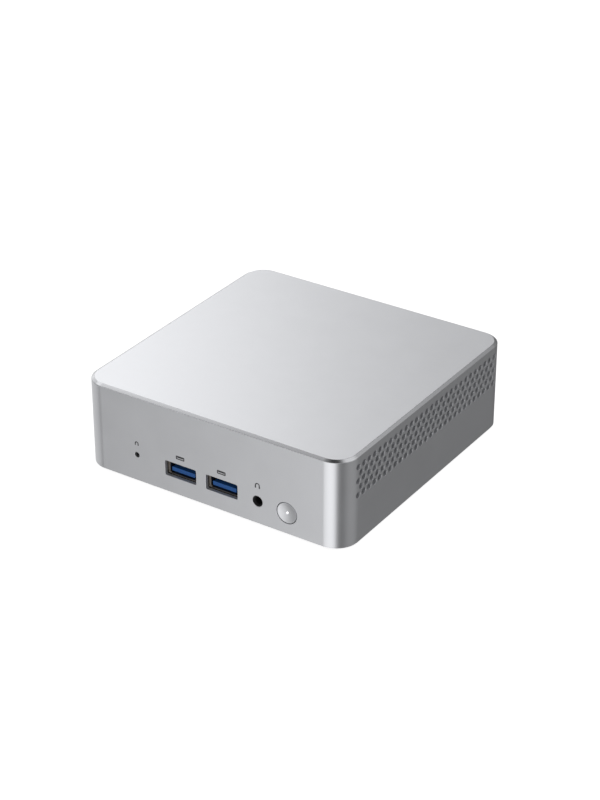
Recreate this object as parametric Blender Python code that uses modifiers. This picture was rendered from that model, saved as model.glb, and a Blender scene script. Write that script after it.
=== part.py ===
"""Mini PC: a square aluminium case around a mainboard, its cooler, memory and port connectors.

Sizes are in millimetres and become metres as each shape is made. +Z is up, the front panel faces -Y,
and the origin is on the table, under the middle of the case.
"""

import math

import bmesh
import bpy
from mathutils import Matrix, Vector

MM = 0.001
# Between pieces that touch, how far a cut runs past a face, and how far a joined shape sinks into its piece
GAP = 0.3
OVERCUT = 1.0
SINK = 0.5

# Case
CASE_SIZE = 128.0
CASE_BOTTOM = 2.2
CASE_TOP = 42.0
CORNER_RADIUS = 10.0
CORNER_STEPS = 7
WALL = 1.7
CHAMFER_RUN = 1.4
CHAMFER_DROP = 0.85
HALF = CASE_SIZE / 2
INSIDE = HALF - WALL
CEILING = CASE_TOP - WALL

# Screw posts on the inside of the case's top
CORNER_POST_RADIUS = 4.6
CORNER_POST_PLACE = 56.9
CORNER_PILOT_TOP = 14.0
BOARD_POST_RADIUS = 2.6
BOARD_POSTS = ((-46.0, -48.0), (46.0, -48.0), (-46.0, 42.0), (46.0, 42.0))
BOARD_PILOT_TOP = 27.0
PILOT_RADIUS = 1.4

# Side vents: five rows of holes, every other row moved by half a pitch
VENT_ROWS = 5
VENT_COLUMNS = 28
VENT_PITCH = 4.0
VENT_ROW_STEP = 3.18
VENT_FIRST_DROP = 5.2
VENT_DIAMETER = 2.6
VENT_SIDES = 6

# Front panel
PORT_SETBACK = 0.2
FRONT_PORT_FACE = -INSIDE + PORT_SETBACK
DATA_CENTRES_X = (-14.6, 5.75)
DATA_CENTRE_Z = 13.15
DATA_WINDOW = (15.5, 6.85)
DATA_WINDOW_CORNER = 0.7
JACK_AT = (23.2, 12.45)
JACK_HOLE = 4.9
MICROPHONE_AT = (-36.55, 14.4)
MICROPHONE_HOLE = 2.4

# Flat data ports, as width and height, and as depths behind the face
DATA_SHELL = (13.3, 5.92)
DATA_SHELL_CORNER = 0.6
DATA_SHELL_DEPTH = 14.0
DATA_RIM = (15.8, 6.6)
DATA_RIM_CORNER = 0.8
DATA_RIM_DEPTH = 0.4
DATA_BORE = (12.5, 5.12)
DATA_BLOCK = (11.9, 4.52)
DATA_BLOCK_DEPTHS = (10.5, 13.8)
DATA_BLADE = (11.5, 1.84)
DATA_BLADE_DEPTHS = (0.25, 11.0)
DATA_BLADE_DROP = 0.89
DATA_INNER_CORNER = 0.3

# Headset jack and microphone
JACK_BODY = (6.6, 6.2)
JACK_DEPTH = 12.5
JACK_BORE_RADIUS = 1.8
JACK_BORE_DEPTH = 11.0
BOOT_SIZE = (4.0, 3.8)
BOOT_DEPTHS = (0.2, 3.4)
BOOT_INLET_RADIUS = 0.5
BOOT_INLET_DEPTH = 1.4

# Power button, with depths behind its front edge, and the guide and switch behind it
BUTTON_AT = (37.1, 11.65)
BUTTON_HOLE = 9.7
BUTTON_RADIUS = 4.65
BUTTON_RECESS = 0.1
BUTTON_DISH = 0.45
BUTTON_DISH_STEPS = 4
BUTTON_LIP = 0.35
BUTTON_SHOULDER = 0.25
BUTTON_FLANGE_RADIUS = 5.5
BUTTON_FLANGE = 1.0
STEM_RADIUS = 1.5
STEM_LENGTH = 2.6
LENS_HOLE_RADIUS = 0.7
LENS_HOLE_DEPTH = 3.2
LENS_PROFILE = ((0, -0.3), (0.35, -0.32), (0.55, -0.45), (0.55, -2.9), (0, -2.9))
GUIDE_RADIUS = 7.0
GUIDE_LENGTH = 3.3
GUIDE_BORE_RADIUS = 5.9
GUIDE_BORE_DEPTH = 2.6
GUIDE_STEM_HOLE_RADIUS = 2.0
PLUNGER_RADIUS = 1.5
PLUNGER_LENGTH = 3.5
PLUNGER_SHOWS = 1.7
SWITCH_WIDTH = 6.2
SWITCH_DEPTH = 4.4
SWITCH_BOTTOM = 9.0
SWITCH_SOCKET_RADIUS = 1.8
SWITCH_SOCKET_DEPTH = 3.0

# Back panel
PANEL_OPENING_X = 50.6
PANEL_OPENING_Z = (4.2, 17.4)
PANEL_OPENING_CORNER = 1.0
PANEL_RECESS = 0.4
PANEL_CORNER = 0.8
PANEL_DEPTH = 1.3
FLANGE_X = 51.9
FLANGE_Z = (4.7, 18.4)
FLANGE_DEPTH = 1.7
EXHAUST_SLOTS = 12
EXHAUST_PITCH = 4.3
EXHAUST_WIDTH = 2.4
EXHAUST_Z = (30.2, 38.8)
LOCK_SLOT = (7.0, 3.0)
LOCK_SLOT_AT = (-44.0, 30.0)
LOCK_SLOT_CORNER = 0.8

# Back connectors, as width and height, and as depths behind the face
REAR_PORT_FACE = HALF - 1.0
REAR_PORT_SPAN = 97.0
POWER_INLET = (9.5, 11.0)
POWER_INLET_CORNER = 0.6
POWER_INLET_DEPTH = 14.0
POWER_BORE_RADIUS = 3.2
POWER_BORE_DEPTH = 10.0
POWER_PIN_RADIUS = 1.2
POWER_PIN_DEPTHS = (1.0, 11.0)
OVAL_SHELL = (9.0, 3.3)
OVAL_SHELL_DEPTH = 8.0
OVAL_WALL = 0.35
OVAL_ROUND = 0.48
OVAL_BLOCK = (6.4, 1.9)
OVAL_BLOCK_DEPTHS = (5.8, 7.8)
OVAL_BLADE = (6.6, 0.7)
OVAL_BLADE_DEPTHS = (0.8, 6.2)
VIDEO_SHELL = (15.0, 5.9)
VIDEO_SHELL_DEPTH = 11.5
VIDEO_WALL = 0.5
VIDEO_CUT = 1.5
VIDEO_BORE_CUT = 1.3
VIDEO_BLOCK = (10.4, 3.6)
VIDEO_BLOCK_DEPTHS = (8.0, 11.3)
VIDEO_BLADE = (10.0, 1.8)
VIDEO_BLADE_DEPTHS = (1.0, 8.6)
VIDEO_BLADE_RISE = 0.3
NETWORK_CAN = (16.2, 11.0)
NETWORK_CAN_DEPTH = 21.0
NETWORK_MOUTH = (11.9, 7.2)
NETWORK_MOUTH_RISE = 0.6
NETWORK_MOUTH_DEPTH = 14.0
NETWORK_NOTCH = (6.2, 2.4)
NETWORK_NOTCH_DROP = 3.2
NETWORK_NOTCH_DEPTH = 10.0

# Bottom cover and feet
COVER_TOP = 4.2
COVER_CORNER = 7.9
FOOT_PLACE = 48.0
FOOT_RADIUS = 7.0
FOOT_EDGE = 0.5
FOOT_POCKET = 0.8
BRACKET_PITCH = 75.0
BRACKET_PAD_SPAN = (1.8, 8.6)
BRACKET_PAD_RADIUS = 4.4
BRACKET_HOLE_RADIUS = 1.7
BRACKET_HOLE_TOP = 7.8
INTAKE_SLOTS = 11
INTAKE_PITCH = 5.0
INTAKE_SLOT = (2.2, 26.0)
INTAKE_ROW_Y = 19.0
SLOT_ROUND = 0.49

# Mainboard, with the connectors hanging under it
BOARD_BOTTOM = 16.6
BOARD_TOP = 18.2
BOARD_HALF_WIDTH = 51.8
BOARD_SPAN_Y = (-61.3, 60.2)
BOARD_CORNER = 2.0
BOARD_NOTCH_MARGIN = 0.6
BOARD_NOTCH_BACK = -58.2
STANDOFF_RADIUS = 2.4
STANDOFF_BORE_RADIUS = 1.3
UNDER_BOARD = BOARD_BOTTOM - GAP

# Screws, each as the radii of its head and shank and the thickness of its head
COVER_SCREW = (2.2, 1.1, 0.8)
COVER_SCREW_BOTTOM = 2.3
COVER_SCREW_TOP = 12.0
COVER_SCREW_RECESS = 1.2
COVER_SCREW_RECESS_RADIUS = 2.5
BOARD_SCREW = (2.5, 1.1, 1.4)
BOARD_SCREW_TOP = 25.0
DRIVE_SCREW = (2.6, 0.9, 1.0)
DRIVE_SCREW_TOP = 17.2
SCREW_HOLE_RADIUS = 1.5
SCREW_SOCKET = 0.45
SCREW_SOCKET_DEPTH = 0.5

# Cooler
CHIP_AT = (-30.0, -8.0)
CHIP_SIZE = (28.0, 24.0, 1.6)
COLD_PLATE_SIZE = (37.0, 38.0, 3.0)
COLD_PLATE_CORNER = 2.0
PIPE_RADIUS = 2.5
PIPE_BEND = 18.0
PIPE_BEND_STEPS = 8
PIPE_START = 16.0
PIPE_END_INSET = 3.0
FINS = 26
FIN_THICKNESS = 0.6
FIN_STACK_BACK = 59.5

# Blower
FAN_AT = (16.0, -12.0)
FAN_FRAME_X = (-10.6, 42.6)
FAN_FRAME_Y = (-39.0, 46.0)
FAN_FRAME_Z = (28.2, 39.8)
FAN_FRAME_CORNER = 6.0
FAN_ROOF = 38.4
FAN_CHAMBER_RADIUS = 24.5
FAN_DUCT_WALL = 2.1
FAN_INLET_RADIUS = 16.0
FAN_INLET_PLATE = 1.0
ROTOR_SPAN = (29.5, 37.9)
ROTOR_RADIUS = 22.0
HUB_RADIUS = 10.0
HUB_BORE_RADIUS = 8.6
HUB_FLOOR = 1.6
SHAFT_RADIUS = 1.5
SHAFT_DROP = 0.6
BLADES = 21
BLADE_ROOT = 9.3
BLADE_THICKNESS = 0.8
BLADE_LEAN = math.radians(24.0)
BLADE_SPAN = (29.7, 37.6)
BEARING_RADII = (1.6, 3.0)
BEARING_BOTTOM = 31.7
COIL_RADII = (3.3, 8.0)
COIL_BOTTOM = 32.3

# Plug-in boards under the mainboard. Each is placed by the middle of the edge that is in its socket
SOCKET_BACK = 2.5
SOCKET_REACH = 3.0
SOCKET_MARGIN = 0.7
SOCKET_BOTTOM = 12.1
CARD_Z = 13.9
MEMORY_AT = (15.0, -41.2)
MEMORY_SIZE = (67.6, 30.0, 1.2)
MEMORY_Z = 12.6
MEMORY_CHIPS = 4
MEMORY_CHIP = (10.0, 12.0, 1.0)
MEMORY_CHIP_PITCH = 15.0
MEMORY_CHIP_SHIFT = 2.0
MEMORY_SOCKET_BACK = 3.5
MEMORY_SOCKET_REACH = 2.9
MEMORY_SOCKET_BOTTOM = 11.2
LATCH_REACH = (0.5, 1.7)
LATCH_LENGTH = 24.0
LATCH_Z = (11.4, 15.0)
HOOK_REACH = 1.4
HOOK_SINK = 0.6
HOOK_SPAN = (19.0, 23.0)
HOOK_BOTTOM = 11.3
DRIVE_AT = (-48.7, 13.0)
DRIVE_SIZE = (80.0, 22.0, 0.8)
DRIVE_CHIPS = ((10.0, 12.0), (28.0, 14.0), (46.0, 14.0))
DRIVE_CHIP_WIDTH = 16.0
DRIVE_CHIP_HEIGHT = 1.1
DRIVE_NOTCH_RADIUS = 1.75
WIRELESS_AT = (-39.5, -40.7)
WIRELESS_SIZE = (22.0, 30.0, 0.8)
SHIELD_WIDTH = 18.0
SHIELD_SPAN = (6.0, 22.0)
SHIELD_HEIGHT = 1.6
CHIP_SINK = 0.3
ANTENNA_X = 50.0
ANTENNA_SIZE = (9.0, 36.0, 0.6)
LEAD_RADIUS = 0.55
LEAD_STEPS = 4
PLUG_SPACING = 11.0
PLUG_INSET = 2.8
PLUG_DROP = 0.4
COIN_CELL_AT = (38.0, 32.0)
COIN_CELL_RADIUS = 10.0
COIN_CELL_THICKNESS = 3.2
COIN_CELL_EDGE = 0.5

# Colour, roughness and metallic value of each finish
FINISHES = {
    "silver_aluminium": ((0.62, 0.63, 0.65), 0.35, 1.0),
    "black_plastic": ((0.02, 0.02, 0.022), 0.55, 0.0),
    "grey_plastic": ((0.09, 0.09, 0.1), 0.6, 0.0),
    "black_rubber": ((0.012, 0.012, 0.012), 0.85, 0.0),
    "plated_steel": ((0.5, 0.49, 0.47), 0.3, 1.0),
    "blue_plastic": ((0.03, 0.09, 0.3), 0.45, 0.0),
    "clear_white": ((0.95, 0.95, 0.92), 0.2, 0.0),
    "green_board": ((0.012, 0.06, 0.03), 0.5, 0.0),
    "black_board": ((0.015, 0.015, 0.018), 0.5, 0.0),
    "bare_chip": ((0.04, 0.045, 0.05), 0.35, 0.0),
    "copper": ((0.72, 0.36, 0.2), 0.3, 1.0),
    "brass": ((0.7, 0.52, 0.22), 0.3, 1.0),
}
CREASE_ANGLE = math.radians(35.0)


def clear_scene():
    for obj in list(bpy.data.objects):
        bpy.data.objects.remove(obj, do_unlink=True)


def new_collection(name):
    collection = bpy.data.collections.new(name)
    bpy.context.scene.collection.children.link(collection)
    return collection


def metres(point):
    return Vector(point) * MM


def about(middle, size):
    """The span of a size about its middle."""
    return (middle - size / 2, middle + size / 2)


def add_box(bm, x, y, z, round_by=0.0, round_along="z", steps=3):
    """Adds a box between spans on x, y and z, with its edges along one axis rounded."""
    spans = (x, y, z)
    centre = Vector([sum(span) / 2 for span in spans])
    size = Vector([abs(span[1] - span[0]) for span in spans])
    place = Matrix.Translation(centre * MM) @ Matrix.Diagonal((*(size * MM), 1.0))
    verts = bmesh.ops.create_cube(bm, size=1.0, matrix=place)["verts"]
    if round_by:
        axis = "xyz".index(round_along)
        rounded = []
        for edge in {edge for vert in verts for edge in vert.link_edges}:
            run = (edge.verts[0].co - edge.verts[1].co).normalized()
            if abs(run[axis]) > 0.99:
                rounded.append(edge)
        bmesh.ops.bevel(bm, geom=rounded, offset=round_by * MM, segments=steps, profile=0.5, affect="EDGES")


def add_rod(bm, radius, centre, span, along="z", sides=24):
    """Adds a rod along an axis. Its centre is given on the two other axes, in x, y, z order."""
    axis = "xyz".index(along)
    at = list(centre)
    at.insert(axis, sum(span) / 2)
    turns = (Matrix.Rotation(math.pi / 2, 4, "Y"), Matrix.Rotation(math.pi / 2, 4, "X"), Matrix.Identity(4))
    bmesh.ops.create_cone(
        bm,
        cap_ends=True,
        segments=sides,
        radius1=radius * MM,
        radius2=radius * MM,
        depth=abs(span[1] - span[0]) * MM,
        matrix=Matrix.Translation(metres(at)) @ turns[axis],
    )


def give_finish(obj, finish):
    colour, roughness, metallic = FINISHES[finish]
    material = bpy.data.materials.new(obj.name)
    material.use_nodes = True
    shader = material.node_tree.nodes["Principled BSDF"]
    shader.inputs["Base Color"].default_value = (*colour, 1.0)
    shader.inputs["Roughness"].default_value = roughness
    shader.inputs["Metallic"].default_value = metallic
    material.diffuse_color = (*colour, 1.0)
    obj.data.materials.append(material)


def place_piece(name, data, origin, finish):
    """Makes a sub-part's object, with its origin at a point of the case's frame."""
    piece = bpy.data.objects.new(name, data)
    piece.location = metres(origin)
    piece.parent = case_frame
    parts.objects.link(piece)
    give_finish(piece, finish)
    return piece


def add_piece(name, bm, origin, finish):
    """Makes a sub-part from a mesh laid out in the case's frame, with its object's origin at a point."""
    bmesh.ops.translate(bm, verts=bm.verts, vec=-metres(origin))
    mesh = bpy.data.meshes.new(name)
    bm.to_mesh(mesh)
    bm.free()
    return place_piece(name, mesh, origin, finish)


def add_turned(name, profile, origin, finish, turn=(0.0, 0.0, 0.0), steps=24):
    """Makes a turned sub-part from a profile of (radius, height), listed from its top to its bottom."""
    mesh = bpy.data.meshes.new(name)
    points = [metres((radius, 0.0, height)) for radius, height in profile]
    links = [(index, index + 1) for index in range(len(points) - 1)]
    mesh.from_pydata(points, links, [])
    piece = place_piece(name, mesh, origin, finish)
    piece.rotation_euler = turn
    screw = piece.modifiers.new("turn", "SCREW")
    screw.steps = steps
    screw.render_steps = steps
    screw.use_merge_vertices = True
    screw.merge_threshold = 0.00001
    return piece


def combine(piece, name, bm, operation):
    """Cuts a shape out of a piece, or joins the shape to it."""
    mesh = bpy.data.meshes.new(name)
    bm.to_mesh(mesh)
    bm.free()
    tool = bpy.data.objects.new(name, mesh)
    tool.hide_render = True
    tool.display_type = "WIRE"
    cutters.objects.link(tool)
    boolean = piece.modifiers.new(name, "BOOLEAN")
    boolean.operation = operation
    boolean.solver = "EXACT"
    boolean.object = tool


def smooth_path(points, steps):
    """Points along a smooth curve through the given ones."""
    knots = [Vector(point) for point in points]
    padded = [2 * knots[0] - knots[1], *knots, 2 * knots[-1] - knots[-2]]
    path = []
    for index in range(1, len(padded) - 2):
        before, start, end, after = padded[index - 1:index + 3]
        for step in range(steps):
            t = step / steps
            bend = 2 * before - 5 * start + 4 * end - after
            twist = 3 * (start - end) + after - before
            path.append(start + 0.5 * t * ((end - before) + t * (bend + t * twist)))
    path.append(knots[-1])
    return path


def add_tube(name, path, radius, resolution, finish):
    """Makes a tube along a path, with closed ends."""
    curve = bpy.data.curves.new(name, "CURVE")
    curve.dimensions = "3D"
    curve.bevel_depth = radius * MM
    curve.bevel_resolution = resolution
    curve.use_fill_caps = True
    spline = curve.splines.new("POLY")
    spline.points.add(len(path) - 1)
    for point, place in zip(spline.points, path):
        point.co = (*(metres(place) - metres(path[0])), 1.0)
    place_piece(name, curve, path[0], finish)


def corners(distance):
    """The four corners of a square about the origin, with a name for each."""
    return {
        "front_left": (-distance, -distance),
        "front_right": (distance, -distance),
        "rear_left": (-distance, distance),
        "rear_right": (distance, distance),
    }


def vent_holes():
    holes = bmesh.new()
    for row in range(VENT_ROWS):
        z = CASE_TOP - VENT_FIRST_DROP - row * VENT_ROW_STEP
        count = VENT_COLUMNS - row % 2
        for column in range(count):
            y = (column - (count - 1) / 2) * VENT_PITCH
            for side in (-1, 1):
                span = (side * (INSIDE - OVERCUT), side * (HALF + OVERCUT))
                add_rod(holes, VENT_DIAMETER / 2, (y, z), span, "x", VENT_SIDES)
    return holes


def front_openings():
    holes = bmesh.new()
    span = (-HALF - OVERCUT, -INSIDE + OVERCUT)
    for x in DATA_CENTRES_X:
        across = about(x, DATA_WINDOW[0])
        up = about(DATA_CENTRE_Z, DATA_WINDOW[1])
        add_box(holes, across, span, up, DATA_WINDOW_CORNER, "y")
    add_rod(holes, JACK_HOLE / 2, JACK_AT, span, "y")
    add_rod(holes, BUTTON_HOLE / 2, BUTTON_AT, span, "y")
    add_rod(holes, MICROPHONE_HOLE / 2, MICROPHONE_AT, span, "y", 12)
    return holes


def rear_openings():
    holes = bmesh.new()
    span = (INSIDE - OVERCUT, HALF + OVERCUT)
    panel_x = (-PANEL_OPENING_X, PANEL_OPENING_X)
    add_box(holes, panel_x, span, PANEL_OPENING_Z, PANEL_OPENING_CORNER, "y")
    for slot in range(EXHAUST_SLOTS):
        x = FAN_AT[0] + (slot - (EXHAUST_SLOTS - 1) / 2) * EXHAUST_PITCH
        add_box(holes, about(x, EXHAUST_WIDTH), span, EXHAUST_Z, SLOT_ROUND * EXHAUST_WIDTH, "y", 2)
    across = about(LOCK_SLOT_AT[0], LOCK_SLOT[0])
    up = about(LOCK_SLOT_AT[1], LOCK_SLOT[1])
    add_box(holes, across, span, up, LOCK_SLOT_CORNER, "y")
    return holes


def make_housing():
    """The aluminium cover: the top and four walls in one piece, open at the bottom."""
    side = (-HALF, HALF)
    shell = bmesh.new()
    add_box(shell, side, side, (CASE_BOTTOM, CASE_TOP - CHAMFER_DROP), CORNER_RADIUS, "z", CORNER_STEPS)
    top = max(shell.faces, key=lambda face: face.calc_center_median().z)
    bottom = min(shell.faces, key=lambda face: face.calc_center_median().z)
    bmesh.ops.inset_region(shell, faces=[top], thickness=CHAMFER_RUN * MM, depth=CHAMFER_DROP * MM)
    bmesh.ops.delete(shell, geom=[bottom], context="FACES_ONLY")
    housing = add_piece("top_housing", shell, (0, 0, CASE_BOTTOM), "silver_aluminium")
    wall = housing.modifiers.new("wall", "SOLIDIFY")
    wall.thickness = WALL * MM
    wall.offset = -1.0
    wall.use_even_offset = True

    posts = bmesh.new()
    pilots = bmesh.new()
    for place in corners(CORNER_POST_PLACE).values():
        add_rod(posts, CORNER_POST_RADIUS, place, (COVER_TOP + GAP, CEILING + SINK), "z", 14)
        add_rod(pilots, PILOT_RADIUS, place, (COVER_TOP - OVERCUT, CORNER_PILOT_TOP), "z", 8)
    for place in BOARD_POSTS:
        add_rod(posts, BOARD_POST_RADIUS, place, (BOARD_TOP + GAP, CEILING + SINK), "z", 10)
        add_rod(pilots, PILOT_RADIUS, place, (BOARD_TOP - OVERCUT, BOARD_PILOT_TOP), "z", 8)
    combine(housing, "housing_posts", posts, "UNION")
    combine(housing, "housing_pilots", pilots, "DIFFERENCE")
    combine(housing, "housing_front_openings", front_openings(), "DIFFERENCE")
    combine(housing, "housing_rear_openings", rear_openings(), "DIFFERENCE")
    combine(housing, "housing_vents", vent_holes(), "DIFFERENCE")


def make_bottom_cover():
    """The plastic plate that closes the case, with the pads that a wall bracket screws to."""
    side = (-INSIDE + GAP, INSIDE - GAP)
    below = CASE_BOTTOM - OVERCUT
    above = COVER_TOP + OVERCUT
    plate = bmesh.new()
    add_box(plate, side, side, (CASE_BOTTOM, COVER_TOP), COVER_CORNER, "z", CORNER_STEPS)
    cover = add_piece("bottom_cover", plate, (0, 0, CASE_BOTTOM), "black_plastic")

    pads = bmesh.new()
    holes = bmesh.new()
    for place in corners(BRACKET_PITCH / 2).values():
        add_rod(pads, BRACKET_PAD_RADIUS, place, BRACKET_PAD_SPAN, "z", 16)
        add_rod(holes, BRACKET_HOLE_RADIUS, place, (below, BRACKET_HOLE_TOP), "z", 10)
    combine(cover, "cover_pads", pads, "UNION")
    for place in corners(CORNER_POST_PLACE).values():
        add_rod(holes, SCREW_HOLE_RADIUS, place, (CASE_BOTTOM + SINK, above), "z", 8)
    for row in (-INTAKE_ROW_Y, INTAKE_ROW_Y):
        for slot in range(INTAKE_SLOTS):
            x = (slot - (INTAKE_SLOTS - 1) / 2) * INTAKE_PITCH
            across, along = about(x, INTAKE_SLOT[0]), about(row, INTAKE_SLOT[1])
            add_box(holes, across, along, (below, above), SLOT_ROUND * INTAKE_SLOT[0], "z", 2)
    combine(cover, "cover_holes", holes, "DIFFERENCE")

    pockets = bmesh.new()
    pocket_span = (below, CASE_BOTTOM + FOOT_POCKET)
    for place in corners(FOOT_PLACE).values():
        add_rod(pockets, FOOT_RADIUS + GAP, place, pocket_span, "z", 20)
    recess_span = (below, CASE_BOTTOM + COVER_SCREW_RECESS)
    for place in corners(CORNER_POST_PLACE).values():
        add_rod(pockets, COVER_SCREW_RECESS_RADIUS, place, recess_span, "z", 12)
    combine(cover, "cover_pockets", pockets, "DIFFERENCE")


def make_feet():
    """Four round rubber feet, each glued into a shallow pocket in the bottom cover."""
    top = CASE_BOTTOM + FOOT_POCKET - GAP
    profile = ((0, top), (FOOT_RADIUS, top), (FOOT_RADIUS, FOOT_EDGE), (FOOT_RADIUS - FOOT_EDGE, 0), (0, 0))
    for corner, (x, y) in corners(FOOT_PLACE).items():
        add_turned("foot_" + corner, profile, (x, y, 0), "black_rubber", steps=20)


def add_screw(name, place, kind, bottom, top):
    """A machine screw driven upwards, its head at the bottom."""
    head_radius, shank_radius, head = kind
    profile = (
        (0, top - bottom),
        (shank_radius, top - bottom),
        (shank_radius, head),
        (head_radius, head),
        (head_radius, 0),
        (0, 0),
    )
    screw = add_turned(name, profile, (*place, bottom), "plated_steel", steps=12)
    socket = bmesh.new()
    socket_span = (bottom - OVERCUT, bottom + SCREW_SOCKET_DEPTH)
    add_rod(socket, SCREW_SOCKET * head_radius, place, socket_span, "z", 6)
    combine(screw, name + "_socket", socket, "DIFFERENCE")


def make_screws():
    """Four screws hold the bottom cover to the corner posts, and four hold the board to its posts."""
    for corner, place in corners(CORNER_POST_PLACE).items():
        add_screw("cover_screw_" + corner, place, COVER_SCREW, COVER_SCREW_BOTTOM, COVER_SCREW_TOP)
    board_screw_bottom = UNDER_BOARD - BOARD_SCREW[2]
    for corner, place in zip(corners(1.0), BOARD_POSTS):
        add_screw("board_screw_" + corner, place, BOARD_SCREW, board_screw_bottom, BOARD_SCREW_TOP)


def port_span(face, facing, depths):
    """The span on y between two depths behind a port's face, which looks along facing."""
    return tuple(sorted(face - facing * depth for depth in depths))


def add_port_box(bm, centre, size, depths, face, facing, round_by=0.0, steps=3):
    """Adds a box of a width and height about a port's middle, between two depths behind its face."""
    across, up = about(centre[0], size[0]), about(centre[1], size[1])
    add_box(bm, across, port_span(face, facing, depths), up, round_by, "y", steps)


def add_insert(name, centre, block, blade, blade_rise, face, facing, finish, blade_corner=0.0):
    """A connector's insert: a block in the back of the shell and a blade that reaches forward from it.

    Each of the two is given as its size and its depths behind the face.
    """
    root = bmesh.new()
    add_port_box(root, centre, *block, face, facing)
    insert = add_piece(name, root, (centre[0], face, centre[1]), finish)
    tongue = bmesh.new()
    add_port_box(tongue, (centre[0], centre[1] + blade_rise), *blade, face, facing, blade_corner)
    combine(insert, name + "_blade", tongue, "UNION")


def make_data_port(name, x, face, facing, rimmed):
    """A flat data port hung under the board: a steel shell round a blue tongue."""
    centre = (x, DATA_CENTRE_Z)
    tube = bmesh.new()
    add_port_box(tube, centre, DATA_SHELL, (0, DATA_SHELL_DEPTH), face, facing, DATA_SHELL_CORNER)
    shell = add_piece(name + "_shell", tube, (x, face, DATA_CENTRE_Z), "plated_steel")
    if rimmed:
        rim = bmesh.new()
        add_port_box(rim, centre, DATA_RIM, (0, DATA_RIM_DEPTH), face, facing, DATA_RIM_CORNER)
        combine(shell, name + "_rim", rim, "UNION")
    bore = bmesh.new()
    through = (-OVERCUT, DATA_SHELL_DEPTH + OVERCUT)
    add_port_box(bore, centre, DATA_BORE, through, face, facing, DATA_INNER_CORNER)
    combine(shell, name + "_bore", bore, "DIFFERENCE")
    block = (DATA_BLOCK, DATA_BLOCK_DEPTHS)
    blade = (DATA_BLADE, DATA_BLADE_DEPTHS)
    add_insert(
        name + "_tongue",
        centre,
        block,
        blade,
        -DATA_BLADE_DROP,
        face,
        facing,
        "blue_plastic",
        DATA_INNER_CORNER,
    )


def make_audio_jack():
    """The 3.5 mm headset jack behind its round hole in the front panel."""
    body = bmesh.new()
    add_port_box(body, JACK_AT, JACK_BODY, (0, JACK_DEPTH), FRONT_PORT_FACE, -1)
    jack = add_piece("audio_jack", body, (JACK_AT[0], FRONT_PORT_FACE, JACK_AT[1]), "black_plastic")
    bore = bmesh.new()
    bore_span = port_span(FRONT_PORT_FACE, -1, (-OVERCUT, JACK_BORE_DEPTH))
    add_rod(bore, JACK_BORE_RADIUS, JACK_AT, bore_span, "y", 16)
    combine(jack, "jack_bore", bore, "DIFFERENCE")


def make_microphone():
    """A microphone in its boot, behind the pinhole in the front panel."""
    x, z = MICROPHONE_AT
    body = bmesh.new()
    boot_at = (x, UNDER_BOARD - BOOT_SIZE[1] / 2)
    add_port_box(body, boot_at, BOOT_SIZE, BOOT_DEPTHS, FRONT_PORT_FACE, -1)
    microphone = add_piece("microphone", body, (x, FRONT_PORT_FACE, z), "black_rubber")
    inlet = bmesh.new()
    inlet_span = port_span(FRONT_PORT_FACE, -1, (-OVERCUT, BOOT_INLET_DEPTH))
    add_rod(inlet, BOOT_INLET_RADIUS, MICROPHONE_AT, inlet_span, "y", 10)
    combine(microphone, "microphone_inlet", inlet, "DIFFERENCE")


def make_power_button():
    """The round button: a dished cap with a lit dot, in a guide, pressing a switch on the board."""
    x, z = BUTTON_AT
    face = -HALF + BUTTON_RECESS
    flange_y = -INSIDE + GAP
    flange_front = face - flange_y
    flange_back = flange_front - BUTTON_FLANGE
    stem_end = flange_back - STEM_LENGTH
    dish_radius = BUTTON_RADIUS - BUTTON_LIP
    dish = []
    for step in range(BUTTON_DISH_STEPS + 1):
        radius = LENS_HOLE_RADIUS + (dish_radius - LENS_HOLE_RADIUS) * step / BUTTON_DISH_STEPS
        dish.append((radius, -BUTTON_DISH * (1 - (radius / dish_radius) ** 2)))
    profile = (
        (0, -LENS_HOLE_DEPTH),
        (LENS_HOLE_RADIUS, -LENS_HOLE_DEPTH),
        *dish,
        (BUTTON_RADIUS, -BUTTON_SHOULDER),
        (BUTTON_RADIUS, flange_front),
        (BUTTON_FLANGE_RADIUS, flange_front),
        (BUTTON_FLANGE_RADIUS, flange_back),
        (STEM_RADIUS, flange_back),
        (STEM_RADIUS, stem_end),
        (0, stem_end),
    )
    facing_front = (math.pi / 2, 0.0, 0.0)
    add_turned("power_button_cap", profile, (x, face, z), "silver_aluminium", facing_front)
    add_turned("power_button_lens", LENS_PROFILE, (x, face, z), "clear_white", facing_front, 12)

    cup = bmesh.new()
    add_rod(cup, GUIDE_RADIUS, BUTTON_AT, (flange_y, flange_y + GUIDE_LENGTH), "y", 20)
    guide = add_piece("power_button_guide", cup, (x, flange_y, z), "black_plastic")
    for name, radius, end in (
        ("guide_bore", GUIDE_BORE_RADIUS, GUIDE_BORE_DEPTH),
        ("guide_stem_hole", GUIDE_STEM_HOLE_RADIUS, GUIDE_LENGTH + OVERCUT),
    ):
        bore = bmesh.new()
        add_rod(bore, radius, BUTTON_AT, (flange_y - OVERCUT, flange_y + end), "y", 20)
        combine(guide, name, bore, "DIFFERENCE")

    plunger_front = face - stem_end + GAP
    plunger = bmesh.new()
    add_rod(plunger, PLUNGER_RADIUS, BUTTON_AT, (plunger_front, plunger_front + PLUNGER_LENGTH), "y", 16)
    add_piece("power_switch_plunger", plunger, (x, plunger_front, z), "grey_plastic")
    body_front = plunger_front + PLUNGER_SHOWS
    body = bmesh.new()
    body_y = (body_front, body_front + SWITCH_DEPTH)
    add_box(body, about(x, SWITCH_WIDTH), body_y, (SWITCH_BOTTOM, UNDER_BOARD))
    switch = add_piece("power_switch_body", body, (x, body_front, z), "black_plastic")
    socket = bmesh.new()
    socket_y = (body_front - OVERCUT, body_front + SWITCH_SOCKET_DEPTH)
    add_rod(socket, SWITCH_SOCKET_RADIUS, BUTTON_AT, socket_y, "y", 16)
    combine(switch, "switch_socket", socket, "DIFFERENCE")


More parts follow.
